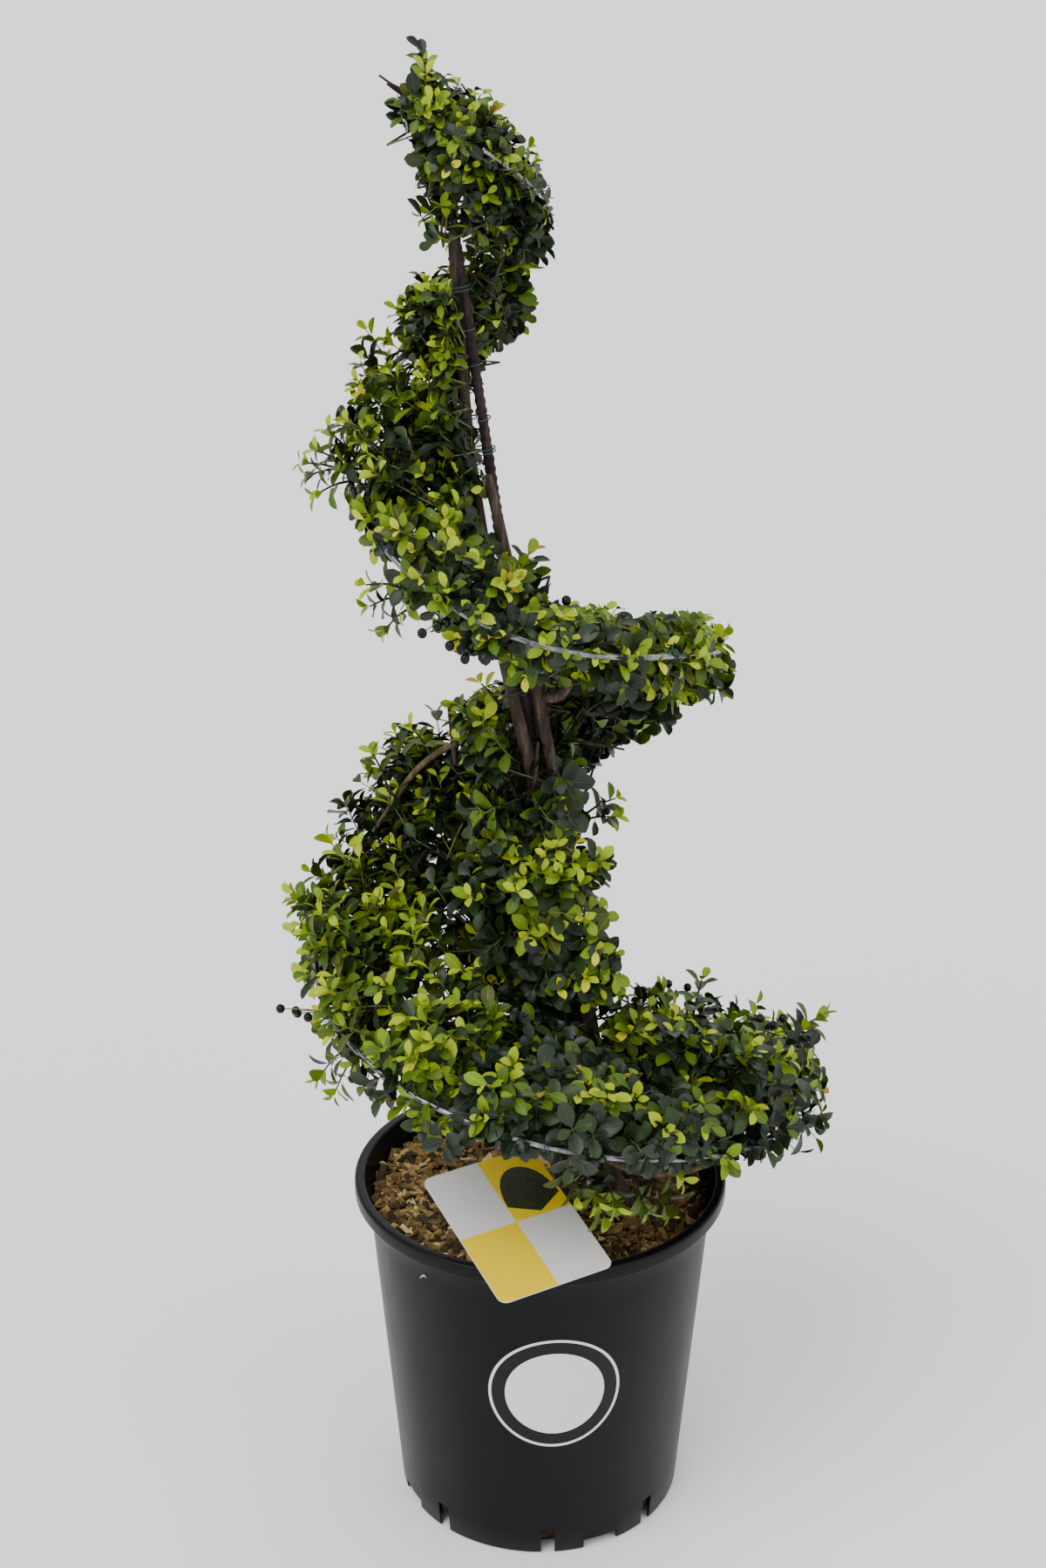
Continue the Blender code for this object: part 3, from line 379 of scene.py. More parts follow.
def wire_material(name, shade):
    material, tree, shader = new_material(name, [part * shade for part in WIRE_COLOUR], 0.34, metallic=1.0)
    stops = [(place, tuple(shade * part for part in light)) for place, light in WIRE_TONES]
    paint(tree, shader, noise(tree, 150.0, 5.0), stops)
    vary_roughness(tree, shader, noise(tree, 90.0, 4.0), 0.22, 0.50)
    return material


# The leaf tones, from old to young, as plain colours that sprays are dealt.
LEAF_TONES = (
    ("leaf_slate", (0.012, 0.022, 0.011), 0.36, 0.30),
    ("leaf_grey", (0.023, 0.035, 0.019), 0.38, 0.30),
    ("leaf_dark", (0.006, 0.014, 0.005), 0.34, 0.30),
    ("leaf_deep", (0.019, 0.039, 0.007), 0.38, 0.28),
    ("leaf_olive", (0.058, 0.074, 0.008), 0.42, 0.24),
    ("leaf_green", (0.070, 0.130, 0.009), 0.42, 0.22),
    ("leaf_fresh", (0.166, 0.262, 0.008), 0.44, 0.22),
    ("leaf_lime", (0.350, 0.445, 0.011), 0.46, 0.22),
    ("leaf_yellow", (0.545, 0.550, 0.018), 0.46, 0.22),
    ("leaf_amber", (0.360, 0.210, 0.016), 0.46, 0.22),
    ("rib_old", (0.050, 0.070, 0.028), 0.46, 0.20),
    ("rib_young", (0.430, 0.480, 0.030), 0.50, 0.16),
)
SLATE, GREY, DARK, DEEP, OLIVE, GREEN, FRESH, LIME, YELLOW, AMBER, RIB_OLD, RIB_YOUNG = range(12)


def leaf_materials():
    return [new_material(name, colour, rough, specular=shine)[0] for name, colour, rough, shine in LEAF_TONES]


# Shapes

def add_object(name, data):
    thing = bpy.data.objects.new(name, data)
    bpy.context.scene.collection.objects.link(thing)
    return thing


def unit(vector):
    vector = np.asarray(vector, float)
    return vector / max(np.linalg.norm(vector), 1e-12)


def smooth_values(stations, values, wanted):
    """A smooth curve through values at evenly spaced stations (Catmull-Rom)."""
    values = np.asarray(values, float)
    padded = np.concatenate(([2 * values[0] - values[1]], values, [2 * values[-1] - values[-2]]))
    place = (np.asarray(wanted, float) - stations[0]) / (stations[1] - stations[0])
    index = np.clip(np.floor(place).astype(int), 0, len(values) - 2)
    u = place - index
    a, b, c, d = (padded[index + k] for k in range(4))
    square = 2 * a - 5 * b + 4 * c - d
    cube = 3 * b - a - 3 * c + d
    inside = 0.5 * (2 * b + (c - a) * u + square * u**2 + cube * u**3)
    start = values[0] + (values[1] - values[0]) * place
    return np.where(place < 0, start, inside)


def curve_through(points, count):
    points = np.asarray(points, float)
    stations = np.arange(len(points))
    wanted = np.linspace(0, len(points) - 1, count)
    return np.column_stack([smooth_values(stations, points[:, k], wanted) for k in range(3)])


def ramp_height(turn):
    return float(smooth_values(QUARTERS, QUARTER_HEIGHTS, turn))


def ramp_radius(turn):
    return float(smooth_values(QUARTERS, QUARTER_RADII, turn))


def axis_point(height):
    return np.array([LEADER_FOOT[0] + LEADER_LEAN * (height - LEADER_FOOT[2]), LEADER_FOOT[1], height])


def outward(turn):
    angle = 2 * math.pi * turn
    return np.array([math.cos(angle), -math.sin(angle), 0.0])


def ramp_point(turn, share, lift=0.0):
    height = ramp_height(turn) + lift
    return axis_point(height) + outward(turn) * ramp_radius(turn) * share


def rings_along(points, radii, sides, relief=None):
    """The rings of a limb: relief(angles, share) scales the radius round each ring."""
    points = np.asarray(points, float)
    tangents = np.gradient(points, axis=0)
    side = np.cross(unit(tangents[0]), (0.0, 0.0, 1.0))
    if np.linalg.norm(side) < 0.3:
        side = np.array([0.0, 1.0, 0.0])
    angles = 2 * math.pi * np.arange(sides) / sides
    rings = []
    for index, (point, tangent, radius) in enumerate(zip(points, tangents, radii)):
        tangent = unit(tangent)
        side = unit(side - tangent * np.dot(side, tangent))
        other = np.cross(tangent, side)
        size = np.full(sides, radius)
        if relief is not None:
            size = radius * relief(angles, index / (len(points) - 1))
        round_side = (size * np.cos(angles))[:, None] * side
        rings.append(point + round_side + (size * np.sin(angles))[:, None] * other)
    return np.array(rings)


def limb_faces(rings, sides):
    ring, corner = np.meshgrid(np.arange(rings - 1), np.arange(sides), indexing="ij")
    after = (corner + 1) % sides
    low, high = ring * sides, (ring + 1) * sides
    faces = np.stack([low + corner, low + after, high + after, high + corner], axis=-1)
    return faces.reshape(-1, 4)


class Gathering:
    """Many small shapes that become one mesh."""

    def __init__(self):
        self.corners, self.faces, self.slots = [], [], []
        self.count = self.start = 0

    def add(self, corners, faces, slots=0):
        """Adds a shape: its faces are rows of 3 or 4 corner numbers."""
        self.start = self.count
        self.corners.append(np.asarray(corners, float))
        self.count += len(corners)
        self.more(faces, slots)

    def more(self, faces, slots=0):
        """Adds faces on the corners of the last shape."""
        self.faces.append(np.asarray(faces) + self.start)
        self.slots.append(np.broadcast_to(slots, len(faces)))

    def limb(self, points, radii, sides, relief=None, slot=0):
        """A limb with both ends closed by a point."""
        rings = rings_along(points, radii, sides, relief)
        corners = np.vstack([rings.reshape(-1, 3), points[0], points[-1]])
        self.add(corners, limb_faces(len(rings), sides), slot)
        around = np.arange(sides)
        after = np.roll(around, -1)
        last = sides * (len(rings) - 1)
        foot = np.full(sides, len(corners) - 2)
        self.more(np.column_stack([after, around, foot]), slot)
        self.more(np.column_stack([around + last, after + last, foot + 1]), slot)

    def build(self, name, slot, materials, *nodes, smooth=True):
        """Makes the mesh a piece that rides on the root and stands for some nodes."""
        faces = [face for group in self.faces for face in group.tolist()]
        mesh = bpy.data.meshes.new(name)
        mesh.from_pydata(np.vstack(self.corners).tolist(), [], faces)
        for material in materials:
            mesh.materials.append(material)
        mesh.polygons.foreach_set("material_index", np.concatenate(self.slots).astype(np.int32))
        mesh.polygons.foreach_set("use_smooth", [smooth] * len(faces))
        mesh.update()
        thing = add_object(name, mesh)
        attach(thing, "root")
        if nodes:
            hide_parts(*nodes)


def search_tree(corners, faces):
    return BVHTree.FromPolygons([tuple(c) for c in corners], [tuple(f) for f in faces])


def tube_tree(points, radii):
    """A plain tube with few sides, to test runs against."""
    rings = rings_along(points, radii, TUBE_SIDES)
    return search_tree(rings.reshape(-1, 3), limb_faces(len(rings), TUBE_SIDES).tolist())


# Stems and boughs

def leader_route():
    straight = [axis_point(z) for z in np.linspace(LEADER_FOOT[2], LEADER_STRAIGHT_TOP, 18)]
    tip = np.array(LEADER_TIP)
    bend = 0.5 * (straight[-1] + tip) + (0.012, 0.0, 0.010)
    curl = curve_through([straight[-2], straight[-1], bend, tip], 10)[4:]
    return np.vstack([straight, curl])


LEADER_ROUTE = leader_route()


def leader_centre(height):
    return np.array([np.interp(height, LEADER_ROUTE[:, 2], LEADER_ROUTE[:, k]) for k in range(3)])


def leader_radius(height):
    share = (height - LEADER_FOOT[2]) / (LEADER_TIP[2] - LEADER_FOOT[2])
    flare = (FLARE - LEADER_RADII[0]) * math.exp(-(height - LEADER_FOOT[2]) / FLARE_HEIGHT)
    return LEADER_RADII[0] + (LEADER_RADII[1] - LEADER_RADII[0]) * share + flare


def stem_place(index, height):
    above = height - LEADER_FOOT[2]
    settle = math.exp(-((above / STEM_FOOT_RISE) ** 2))
    taper = 1.0 - STEM_RING_TAPER * above / (STEM_TOPS[-1] - LEADER_FOOT[2])
    ring = STEM_RING * taper + (STEM_FOOT_RING - STEM_RING) * settle
    turn = 0.125 + index / len(STEM_TOPS) + STEM_TWIST_TURNS_PER_M * above
    return axis_point(height) + outward(turn) * ring


def stem_radius(index, height):
    above = height - LEADER_FOOT[2]
    share = above / (STEM_TOPS[index] - LEADER_FOOT[2])
    flare = (FLARE - STEM_RADII[0]) * math.exp(-above / FLARE_HEIGHT)
    return STEM_RADII[0] + (STEM_RADII[1] - STEM_RADII[0]) * share + flare


def facing_stem(height, direction):
    """The centre and radius, at a height, of the stem that faces a direction most."""
    found = [(0.0, leader_centre(height), leader_radius(height))]
    for index, top in enumerate(STEM_TOPS):
        if height < top - 0.003:
            centre = stem_place(index, height)
            facing = float(np.dot(unit((centre - axis_point(height)) * (1, 1, 0)), direction))
            found.append((facing, centre, stem_radius(index, height)))
    return max(found, key=lambda stem: stem[0])[1:]


def wave_relief(lobes, runs, depth):
    """Bark relief: waves that run round and along a limb, seeded."""
    waves = []
    for lobe in lobes:
        run, phase = random.uniform(*runs), random.uniform(0, 2 * math.pi)
        waves.append((lobe, run, phase, random.uniform(0.5, 1.0) / lobe**0.4))
    total = sum(wave[3] for wave in waves)

    def relief(angles, share):
        height = sum(size * np.sin(lobe * angles + run * share + phase)
                     for lobe, run, phase, size in waves)
        return 1.0 + depth * height / total

    return relief


def twisted_relief(turns, ridges, depth, ripple):
    """The leader's relief: ridges that wind up it, with a finer ripple."""

    def relief(angles, share):
        wound = angles * ridges + 2 * math.pi * turns * ridges * share
        return 1.0 + depth * np.sin(wound) + ripple * np.sin(7 * angles + 190 * share)

    return relief


def make_stems():
    """The stems in their bark; returns their search trees and the side stems' bark."""
    leader = Gathering()
    points = curve_through(LEADER_ROUTE, LEADER_RINGS)
    thins, length = LEADER_THINS
    tip_share = np.clip((np.arange(LEADER_RINGS) / LEADER_RINGS - thins) / length, 0.0, 1.0)
    radii = [leader_radius(z) * (1 - 0.5 * thin) for z, thin in zip(points[:, 2], tip_share)]
    leader.limb(points, radii, LEADER_SIDES, twisted_relief(LEADER_TWIST, 2, 0.10, 0.025))
    leader.build("leader_bark", "holly_bark", [bark_material("bark_leader")], "leader_stem")
    limbs = [tube_tree(LEADER_ROUTE, [leader_radius(z) for z in LEADER_ROUTE[:, 2]])]
    bark = bark_material("bark_stems")
    for index, top in enumerate(STEM_TOPS):
        stem = Gathering()
        heights = np.linspace(LEADER_FOOT[2], top, int((top - LEADER_FOOT[2]) / STEM_STEP))
        points = [stem_place(index, z) for z in heights]
        radii = [stem_radius(index, z) for z in heights]
        stem.limb(points, radii, STEM_SIDES, wave_relief((2, 3, 5, 7, 9, 11), (4.0, 38.0), 0.20))
        limbs.append(tube_tree(points[::6], radii[::6]))
        stem.build(f"side_stem_bark_{index + 1}", "holly_bark", [bark], f"side_stem_{index + 1}")
    return limbs, bark


def stem_side(height, way):
    """Where a twig starts, just inside the stem that faces its way."""
    centre, radius = facing_stem(height, way)
    return centre + way * radius * 0.6


def bough_route(turn):
    """A bough, from the stem that faces its mass to where the mass begins."""
    end = ramp_point(turn, BOUGH_SHARE, BOUGH_LIFT)
    centre, radius = facing_stem(end[2] - BOUGH_DROP, outward(turn))
    way = unit((end - centre) * (1, 1, 0))
    start = centre + way * radius * 0.7
    bend = start + (end - start) * 0.62 + (0, 0, BOUGH_LIFT)
    return curve_through([start, start + way * BOUGH_LEAVES, bend, end], 26)


class Space:
    """The room that one mass keeps to."""

    def __init__(self, first, last, reach, low, high):
        self.first, self.last = first, last
        self.reach, self.low, self.high = reach, low, high

    def turn_of(self, point):
        offset = point - axis_point(point[2])
        turn = math.atan2(-offset[1], offset[0]) / (2 * math.pi)
        return turn + round(0.5 * (self.first + self.last) - turn)

    def reaches(self, point, margin):
        """Whether a point is within the outline, wherever it is round the axis."""
        offset = point - axis_point(point[2])
        turn = self.turn_of(point)
        if np.linalg.norm(offset) > self.reach(turn) + margin:
            return False
        return self.low(turn) - margin <= point[2] <= self.high(turn) + margin

    def point(self, turn, share, level):
        """A point by turn, share of the reach and level from -1 to 1."""
        floor, ceiling = self.low(turn), self.high(turn)
        height = 0.5 * (floor + ceiling) + 0.5 * level * (ceiling - floor)
        return axis_point(height) + outward(turn) * self.reach(turn) * share


# Leaves

LEAF_STATIONS = (
    (0.00, 0.020, 0.000),
    (0.10, 0.030, 0.004),
    (0.26, 0.250, 0.018),
    (0.48, 0.455, 0.030),
    (0.72, 0.475, 0.024),
    (0.90, 0.290, 0.006),
    (1.00, 0.000, -0.012),
)
RIB_STATIONS = ((0.00, 0.000), (0.26, 0.018), (0.48, 0.030), (0.72, 0.024), (0.92, 0.004))
RIB_HALF_WIDTH = 0.036
RIB_LIFT = 0.009


def leaf_template():
    """One blade: a folded, rounded outline along +X, its upper side to +Z."""
    corners = []
    faces = []
    for place, half, lift in LEAF_STATIONS[:-1]:
        corners += [(place, half, lift), (place, 0.0, lift), (place, -half, lift)]
    corners.append((1.0, 0.0, LEAF_STATIONS[-1][2]))
    last = len(LEAF_STATIONS) - 2
    for index in range(last):
        base = 3 * index
        faces.append((base + 1, base + 4, base + 3, base))
        faces.append((base + 2, base + 5, base + 4, base + 1))
    tip = 3 * last
    tips = [(tip + 1, len(corners) - 1, tip), (tip + 2, len(corners) - 1, tip + 1)]
    return np.array(corners), faces, tips


def rib_template():
    """The pale midrib: a narrow strip that lies in the blade's fold."""
    corners = []
    faces = []
    for index, (place, lift) in enumerate(RIB_STATIONS):
        half = RIB_HALF_WIDTH * (1.0 - 0.7 * place)
        corners += [(place, half, lift + RIB_LIFT), (place, -half, lift + RIB_LIFT)]
        if index:
            base = 2 * index
            faces.append((base - 1, base + 1, base, base - 2))
    return np.array(corners), faces


LEAF_CORNERS, LEAF_QUADS, LEAF_TIPS = leaf_template()
RIB_CORNERS, RIB_QUADS = rib_template()
RIB_TONES = {GREEN: FRESH, FRESH: LIME, LIME: RIB_YOUNG, YELLOW: RIB_YOUNG, AMBER: RIB_YOUNG, OLIVE: FRESH}


def leaf_scale(height):
    """The length of a full leaf, which is less towards the plant's top."""
    return LEAF_LENGTH * (1.08 - LEAF_SHRINK * (height - QUARTER_HEIGHTS[0]) / 0.8)


# What a spray's leaves are dealt from, and how often: an old spray's lower leaves,
# upper leaves and tip, and a young spray's tip, upper leaves and lower leaves.
OLD_SPRAY = (
    ((SLATE, GREY, DARK, DEEP), (0.30, 0.14, 0.40, 0.16)),
    ((SLATE, GREY, DARK, DEEP), (0.28, 0.18, 0.28, 0.26)),
    ((DARK, DEEP, OLIVE, GREEN), (0.36, 0.32, 0.12, 0.20)),
)
YOUNG_SPRAY = (
    ((FRESH, LIME, YELLOW, AMBER), (0.31, 0.56, 0.115, 0.015)),
    ((GREEN, FRESH, LIME, OLIVE), (0.30, 0.38, 0.22, 0.10)),
    ((DEEP, OLIVE, GREEN, FRESH), (0.38, 0.16, 0.34, 0.12)),
)


def spray_tones(young):
    """The tones of one spray: for its lower leaves, its upper leaves and its tip."""
    drawn = [random.choice(tones, p=shares) for tones, shares in (YOUNG_SPRAY if young else OLD_SPRAY)]
    return drawn[::-1] if young else drawn


def in_front(place, windows):
    """Whether a place lies close in front of the stems, in one of the windows."""
    aside, depth = (place - leader_centre(place[2]))[:2]
    if not -WINDOW_DEPTH < depth < 0:
        return False
    return any(left < aside < right and low < place[2] < high for left, right, low, high in windows)


class Foliage:
    """Twigs, leaves and fruit of the crown, gathered as they grow."""

    def __init__(self, limbs):
        self.limbs = limbs
        self.twigs = Gathering()
        self.leaves = [Gathering() for part in range(LEAF_PIECES)]
        self.berries = Gathering()
        self.nodes = []

    def touches_limb(self, start, end):
        """Whether a straight run from start to end passes through a limb."""
        run = Vector(end - start)
        return any(tree.ray_cast(Vector(start), run, run.length)[0] is not None for tree in self.limbs)

    def leaf(self, root, way, normal, length, tone, young, part):
        way = unit(way)
        across = unit(np.cross(normal, way))
        normal = np.cross(way, across)
        droop = random.uniform(-0.05, 0.16)

        def placed(template):
            corners = template * (1.0, LEAF_WIDTHS[young], 1.0)
            corners[:, 2] += LEAF_FOLD * np.abs(corners[:, 1]) - droop * corners[:, 0] ** 2
            return root + length * corners @ np.array([way, across, normal])

        blades = self.leaves[part]
        blades.add(placed(LEAF_CORNERS), LEAF_QUADS, tone)
        blades.more(LEAF_TIPS, tone)
        blades.add(placed(RIB_CORNERS), RIB_QUADS, RIB_TONES.get(tone, RIB_OLD))

    def shoot(self, base, tip, young, part, space=None):
        """A straight shoot with leaf pairs, each a quarter turn on; returns how many leaves it has."""
        way = unit(tip - base)
        lower, upper, end_tone = spray_tones(young)
        length = np.linalg.norm(tip - base)
        side = unit(np.cross(way, (0.31, 0.22, 0.92)))
        other = np.cross(way, side)
        roll = random.uniform(0, 2 * math.pi)
        grown = 0
        for pair in range(random.integers(*LEAF_PAIRS) + 1):
            from_tip = pair * LEAF_PAIR_STEP
            if from_tip > length * 0.9:
                break
            root = tip - way * from_tip
            spread = math.radians(44 + 12 * min(pair, 3)) + random.normal(0, 0.14)
            tone = (end_tone, upper, lower)[min(pair, 2)]
            size = leaf_scale(tip[2]) * LEAF_SIZES[young][min(pair, 2)]
            for half in range(2):
                angle = roll + pair * 0.5 * math.pi + half * math.pi + random.normal(0, 0.22)
                outer = math.cos(angle) * side + math.sin(angle) * other
                leaf_way = unit(way * math.cos(spread) + outer * math.sin(spread))
                normal = unit(way * math.sin(spread) - outer * math.cos(spread) + (0, 0, 0.35))
                normal = unit(normal + random.normal(0, 0.16, 3))
                leaf_length = size * random.uniform(0.82, 1.16)
                end = root + leaf_way * leaf_length
                if space is not None and not space.reaches(end, LEAF_OVERHANG):
                    continue
                if in_front(end, BARE_WINDOWS) or in_front(0.5 * (root + end), BARE_WINDOWS):
                    continue
                if not self.touches_limb(root, end):
                    self.leaf(root, leaf_way, normal, leaf_length, tone, young, part)
                    grown += 1
        return grown

    def twig(self, start, end, radii, bend, sides=4, slot=0, steps=6):
        """A twig with one slight bend; returns the points along it."""
        middle = 0.5 * (start + end) + bend
        points = curve_through([start, middle, end], steps)
        self.twigs.limb(points, np.linspace(*radii, steps), sides, slot=slot)
        return points

    def mass_stem(self, start, way, lift, tip, radii, steps):
        """The twig that carries a mass; returns the points that shoots grow from."""
        middle = 0.5 * (start + tip) + lift
        points = curve_through([start, start + way * TWIG_LEAVES, middle, tip], steps)
        self.twigs.limb(points, np.linspace(*radii, steps), 7)
        return points[3:]

    def sprig(self, start, end):
        """A young shoot that stands out of the clipped outline, on its own twig."""
        start, end = np.array(start), np.array(end)
        self.twig(self.nearest_node(start), start, (0.0013, 0.0011), np.zeros(3))
        self.twig(start, end, (0.0011, 0.0006), np.array([0.0, 0.0, 0.002]))
        base = start + 0.45 * (end - start)
        self.shoot(base - 0.3 * (end - start), end, 1, 0)

    def nearest_node(self, place):
        nodes = np.array(self.nodes)
        return nodes[np.argmin(np.linalg.norm(nodes - place, axis=1))]

    def fruit(self, place, count):
        """A cluster of berries, each on its own short stalk from the nearest twig."""
        place = np.array(place)
        anchor = self.nearest_node(place)
        for index in range(count):
            spot = place + random.normal(0, 0.0062, 3) * (index > 0)
            self.twig(anchor, spot, (0.0006, 0.0005), np.array([0.0, 0.0, 0.003]), slot=1)
            ball = bmesh.new()
            bmesh.ops.create_icosphere(ball, subdivisions=2, radius=BERRY_RADIUS)
            corners = [np.array(v.co) * (1, 1, 1.08) + spot for v in ball.verts]
            faces = [[v.index for v in face.verts] for face in ball.faces]
            ball.free()
            self.berries.add(corners, faces)

    def targets(self, space, shoots):
        """Seeded places in a space that shoots grow to, most of them near its outside."""
        for index in range(shoots):
            place = (index * GOLDEN_TURN + random.uniform(0, 0.12)) % 1.0
            turn = space.first + (space.last - space.first) * place
            inset = 1.0 - SHOOT_INSET / space.reach(turn)
            share = inset * math.sqrt(random.uniform(0.01, 1.0))
            level = random.uniform(-0.82, 0.86)
            if share < 0.84:
                level = math.copysign(abs(level) ** 0.55, level)
            yield space.point(turn, share, level)

    def grow_mass(self, space, stem, shoots, young_share, part, covers=()):
        """Twigs reach from the stem to seeded places in the space, nearest first."""
        nodes = list(stem)
        weights = [0.0] * len(stem)
        targets = [*covers, *self.targets(space, shoots)]
        for target in sorted(targets, key=lambda place: min(np.linalg.norm(place - point) for point in stem)):
            distances = np.linalg.norm(np.array(nodes) - target, axis=1) + np.array(weights)
            start = nodes[int(np.argmin(distances))]
            if self.touches_limb(start, target):
                continue
            turn = space.turn_of(target)
            radial = outward(turn)
            floor, ceiling = space.low(turn), space.high(turn)
            level = (target[2] - 0.5 * (floor + ceiling)) / (0.5 * (ceiling - floor))
            share = np.linalg.norm(target - axis_point(target[2])) / space.reach(turn)
            facing = radial * (0.35 + 0.9 * share**3) + np.array([0, 0, 1.0]) * (0.30 + 0.75 * level)
            facing = unit(facing + random.normal(0, 0.30, 3))
            reach = random.uniform(*SHOOT_LENGTH)
            base = target - facing * reach * 0.85
            tip = base + facing * reach
            if self.touches_limb(base, tip) or self.touches_limb(start, base):
                continue
            if np.dot(base - axis_point(base[2]), radial) < -FAR_SIDE:
                continue
            if any(in_front(place, BARE_WINDOWS) for place in (base, 0.5 * (base + tip), tip)):
                continue
            outer_glow = 0.30 * level + 0.25 * (share - 0.6)
            young = int(random.uniform() < young_share + outer_glow)
            # Painted shade: in the shaded window only old, dark leaves grow.
            if in_front(tip, SHADED):
                young = 0
            if self.shoot(base, tip, young, part, space) < FEWEST_LEAVES:
                continue
            bend = random.normal(0, 0.06, 3) * np.linalg.norm(base - start)
            points = self.twig(start, base, (0.0011, 0.0008), bend)
            self.twig(base, tip, (0.0008, 0.0005), random.normal(0, 0.03, 3) * reach, 3, 1, 4)
            nodes += [points[2], points[4], base]
            weights += [0.004, 0.006, 0.008]
        self.nodes += nodes


def ramp_space(first, last, overhang, rise, drop):
    """The room of a mass along the wire: past it, over it and under it."""
    return Space(
        first,
        last,
        lambda turn: ramp_radius(turn) + overhang,
        lambda turn: max(ramp_height(turn) - drop, LOWEST_LEAVES),
        lambda turn: ramp_height(turn) + rise,
    )


def grow_ramp_masses(crown, boughs):
    """The masses along the wire, the lower ones on boughs; returns the boughs' names."""
    names = []
    for index, row in enumerate(RAMP_MASSES):
        name, first, last, overhang, rise, drop, carried, shoots, young = row
        turn = 0.5 * (first + last)
        way = outward(turn)
        space = ramp_space(first, last, overhang, rise, drop)
        tip = axis_point(ramp_height(turn) + 0.012) + way * (space.reach(turn) - 0.030)
        if carried:
            route = bough_route(turn)
            radii = np.linspace(*BOUGH_RADII, len(route))
            boughs.limb(route, radii, 12, wave_relief((2, 3, 5, 7), (3.0, 14.0), 0.16))
            names.append("bough_" + name)
            start, way = route[-2], unit(route[-1] - route[-2])
        else:
            start = stem_side(ramp_height(turn) - 0.010, way)
        stem = crown.mass_stem(start, way, (0, 0, 0.006), tip, (0.0024, 0.0011), 14)
        covers = []
        for _ in range(WIRE_COVERS.get(name, OTHER_COVERS)):
            turn = random.uniform(first, last)
            covers.append(ramp_point(turn, 1.0) + (0, 0, random.uniform(-0.008, 0.010)))
        crown.grow_mass(space, stem, shoots, young, index % LEAF_PIECES, covers)
    return names


def grow_stem_masses(crown):
    """The masses that clothe the stems, and the loose shoots."""
    for index, row in enumerate(STEM_MASSES + LOOSE_SHOOTS):
        facing_deg, low, high, reach, width, shoots, young = row[1:]
        turn, half = -facing_deg / 360, width / 720
        space = Space(turn - half, turn + half, lambda t: reach, lambda t: low, lambda t: high)
        way = outward(turn)
        start = stem_side(0.5 * (low + high) - 0.02, way)
        tip = start + way * 0.024 + (0, 0, 0.036)
        stem = crown.mass_stem(start, way, way * 0.006, tip, (0.0022, 0.0010), 12)
        crown.grow_mass(space, stem, shoots, young, index % LEAF_PIECES)


def make_crown(limbs, bark):
    """All boughs, and the foliage of every mass, grown from them."""
    crown = Foliage(limbs)
    boughs = Gathering()
    bough_names = grow_ramp_masses(crown, boughs)
    grow_stem_masses(crown)
    for sprig in SPRIGS:
        crown.sprig(*sprig)
    for place, count in FRUIT:
        crown.fruit(place, count)
    for start, end, radius in DEAD_TWIGS:
        bend = random.normal(0, 0.002, 3)
        crown.twig(np.array(start), np.array(end), (radius, 0.7 * radius), bend, 7)
    for old in OLD_BOUGHS:
        relief = wave_relief((2, 3, 5, 7), (6.0, 22.0), 0.2)
        boughs.limb(curve_through(old, 46), np.linspace(0.0036, 0.0016, 46), 12, relief, slot=1)
    boughs.build("bough_bark", "holly_bark", [bark, bark_material("bark_old_boughs")], *bough_names)
    young_bark = new_material("shoot_bark", (0.10, 0.13, 0.03), 0.6)[0]
    crown.twigs.build("holly_twigs", "holly_bark", [bark_material("bark_twigs"), young_bark])
    materials = leaf_materials()
    masses = ["foliage_" + row[0] for row in RAMP_MASSES + STEM_MASSES]
    for part, blades in enumerate(crown.leaves):
        blades.build(f"holly_leaves_{part + 1}", "holly_leaves", materials, *(() if part else masses))
    berry_skin = new_material("berry_skin", (0.003, 0.003, 0.005), 0.28, specular=0.25)[0]
    crown.berries.build("holly_berries", "holly_leaves", [berry_skin])


# The pot and what is in it

POT_HEIGHT = 0.286
POT_RIM_RADIUS = 0.150
POT_BASE_RADIUS = 0.116
POT_WALL_TOP_RADIUS = 0.139
POT_WALL = 0.002
RIM_LIP_HEIGHT = 0.012
RIM_INNER_RADIUS = 0.1415
FLOOR_RADIUS = 0.098
CHANNEL_HEIGHT = 0.010
SLOTS = (8, 3.0, 0.011, 0.024)
NOTCHES = (4, 25.0, 0.030, 0.0085)
POT_SIDES = 160

STICKER_TURN_DEG = 4.9
STICKER_HEIGHT = 0.1636
STICKER_RADII = (0.0393, 0.0502, 0.0525)
STICKER_LIP = 0.0009
STICKER_SIDES = 96
# How far the sticker stands off the wall, and its lip.
STICKER_STANDS = (0.0004, 0.00015)
# A print's grain: the scale and detail of its noise, its strength and depth.
STICKER_GRAIN = ((300.0, 3.0), 0.05, 0.0003)
CARD_GRAIN = ((500.0, 2.0), 0.04, 0.0002)
SCRATCH = ((-0.1028, 0.2497), (-0.0983, 0.2542), (-0.096, 0.2527))

CARD_SIZE = (0.096, 0.135)
CARD_THICKNESS = 0.0009
CARD_CORNER = 0.007
CARD_CENTRE = (-0.019, -0.1055, 0.3022)
CARD_TURN_DEG = (15.5, 20.6, 8.0)
CARD_EDGE = 0.9985
PRINT_STAND = 0.00006
# The printed mound: its left end, foot, half width and rise.
MOUND = (0.0005, 0.003, 0.0228, 0.049)

CHIPS = 2600
CRUMBS = 1500
SOIL_RADIUS = 0.1335
SOIL_DROP = 0.0035


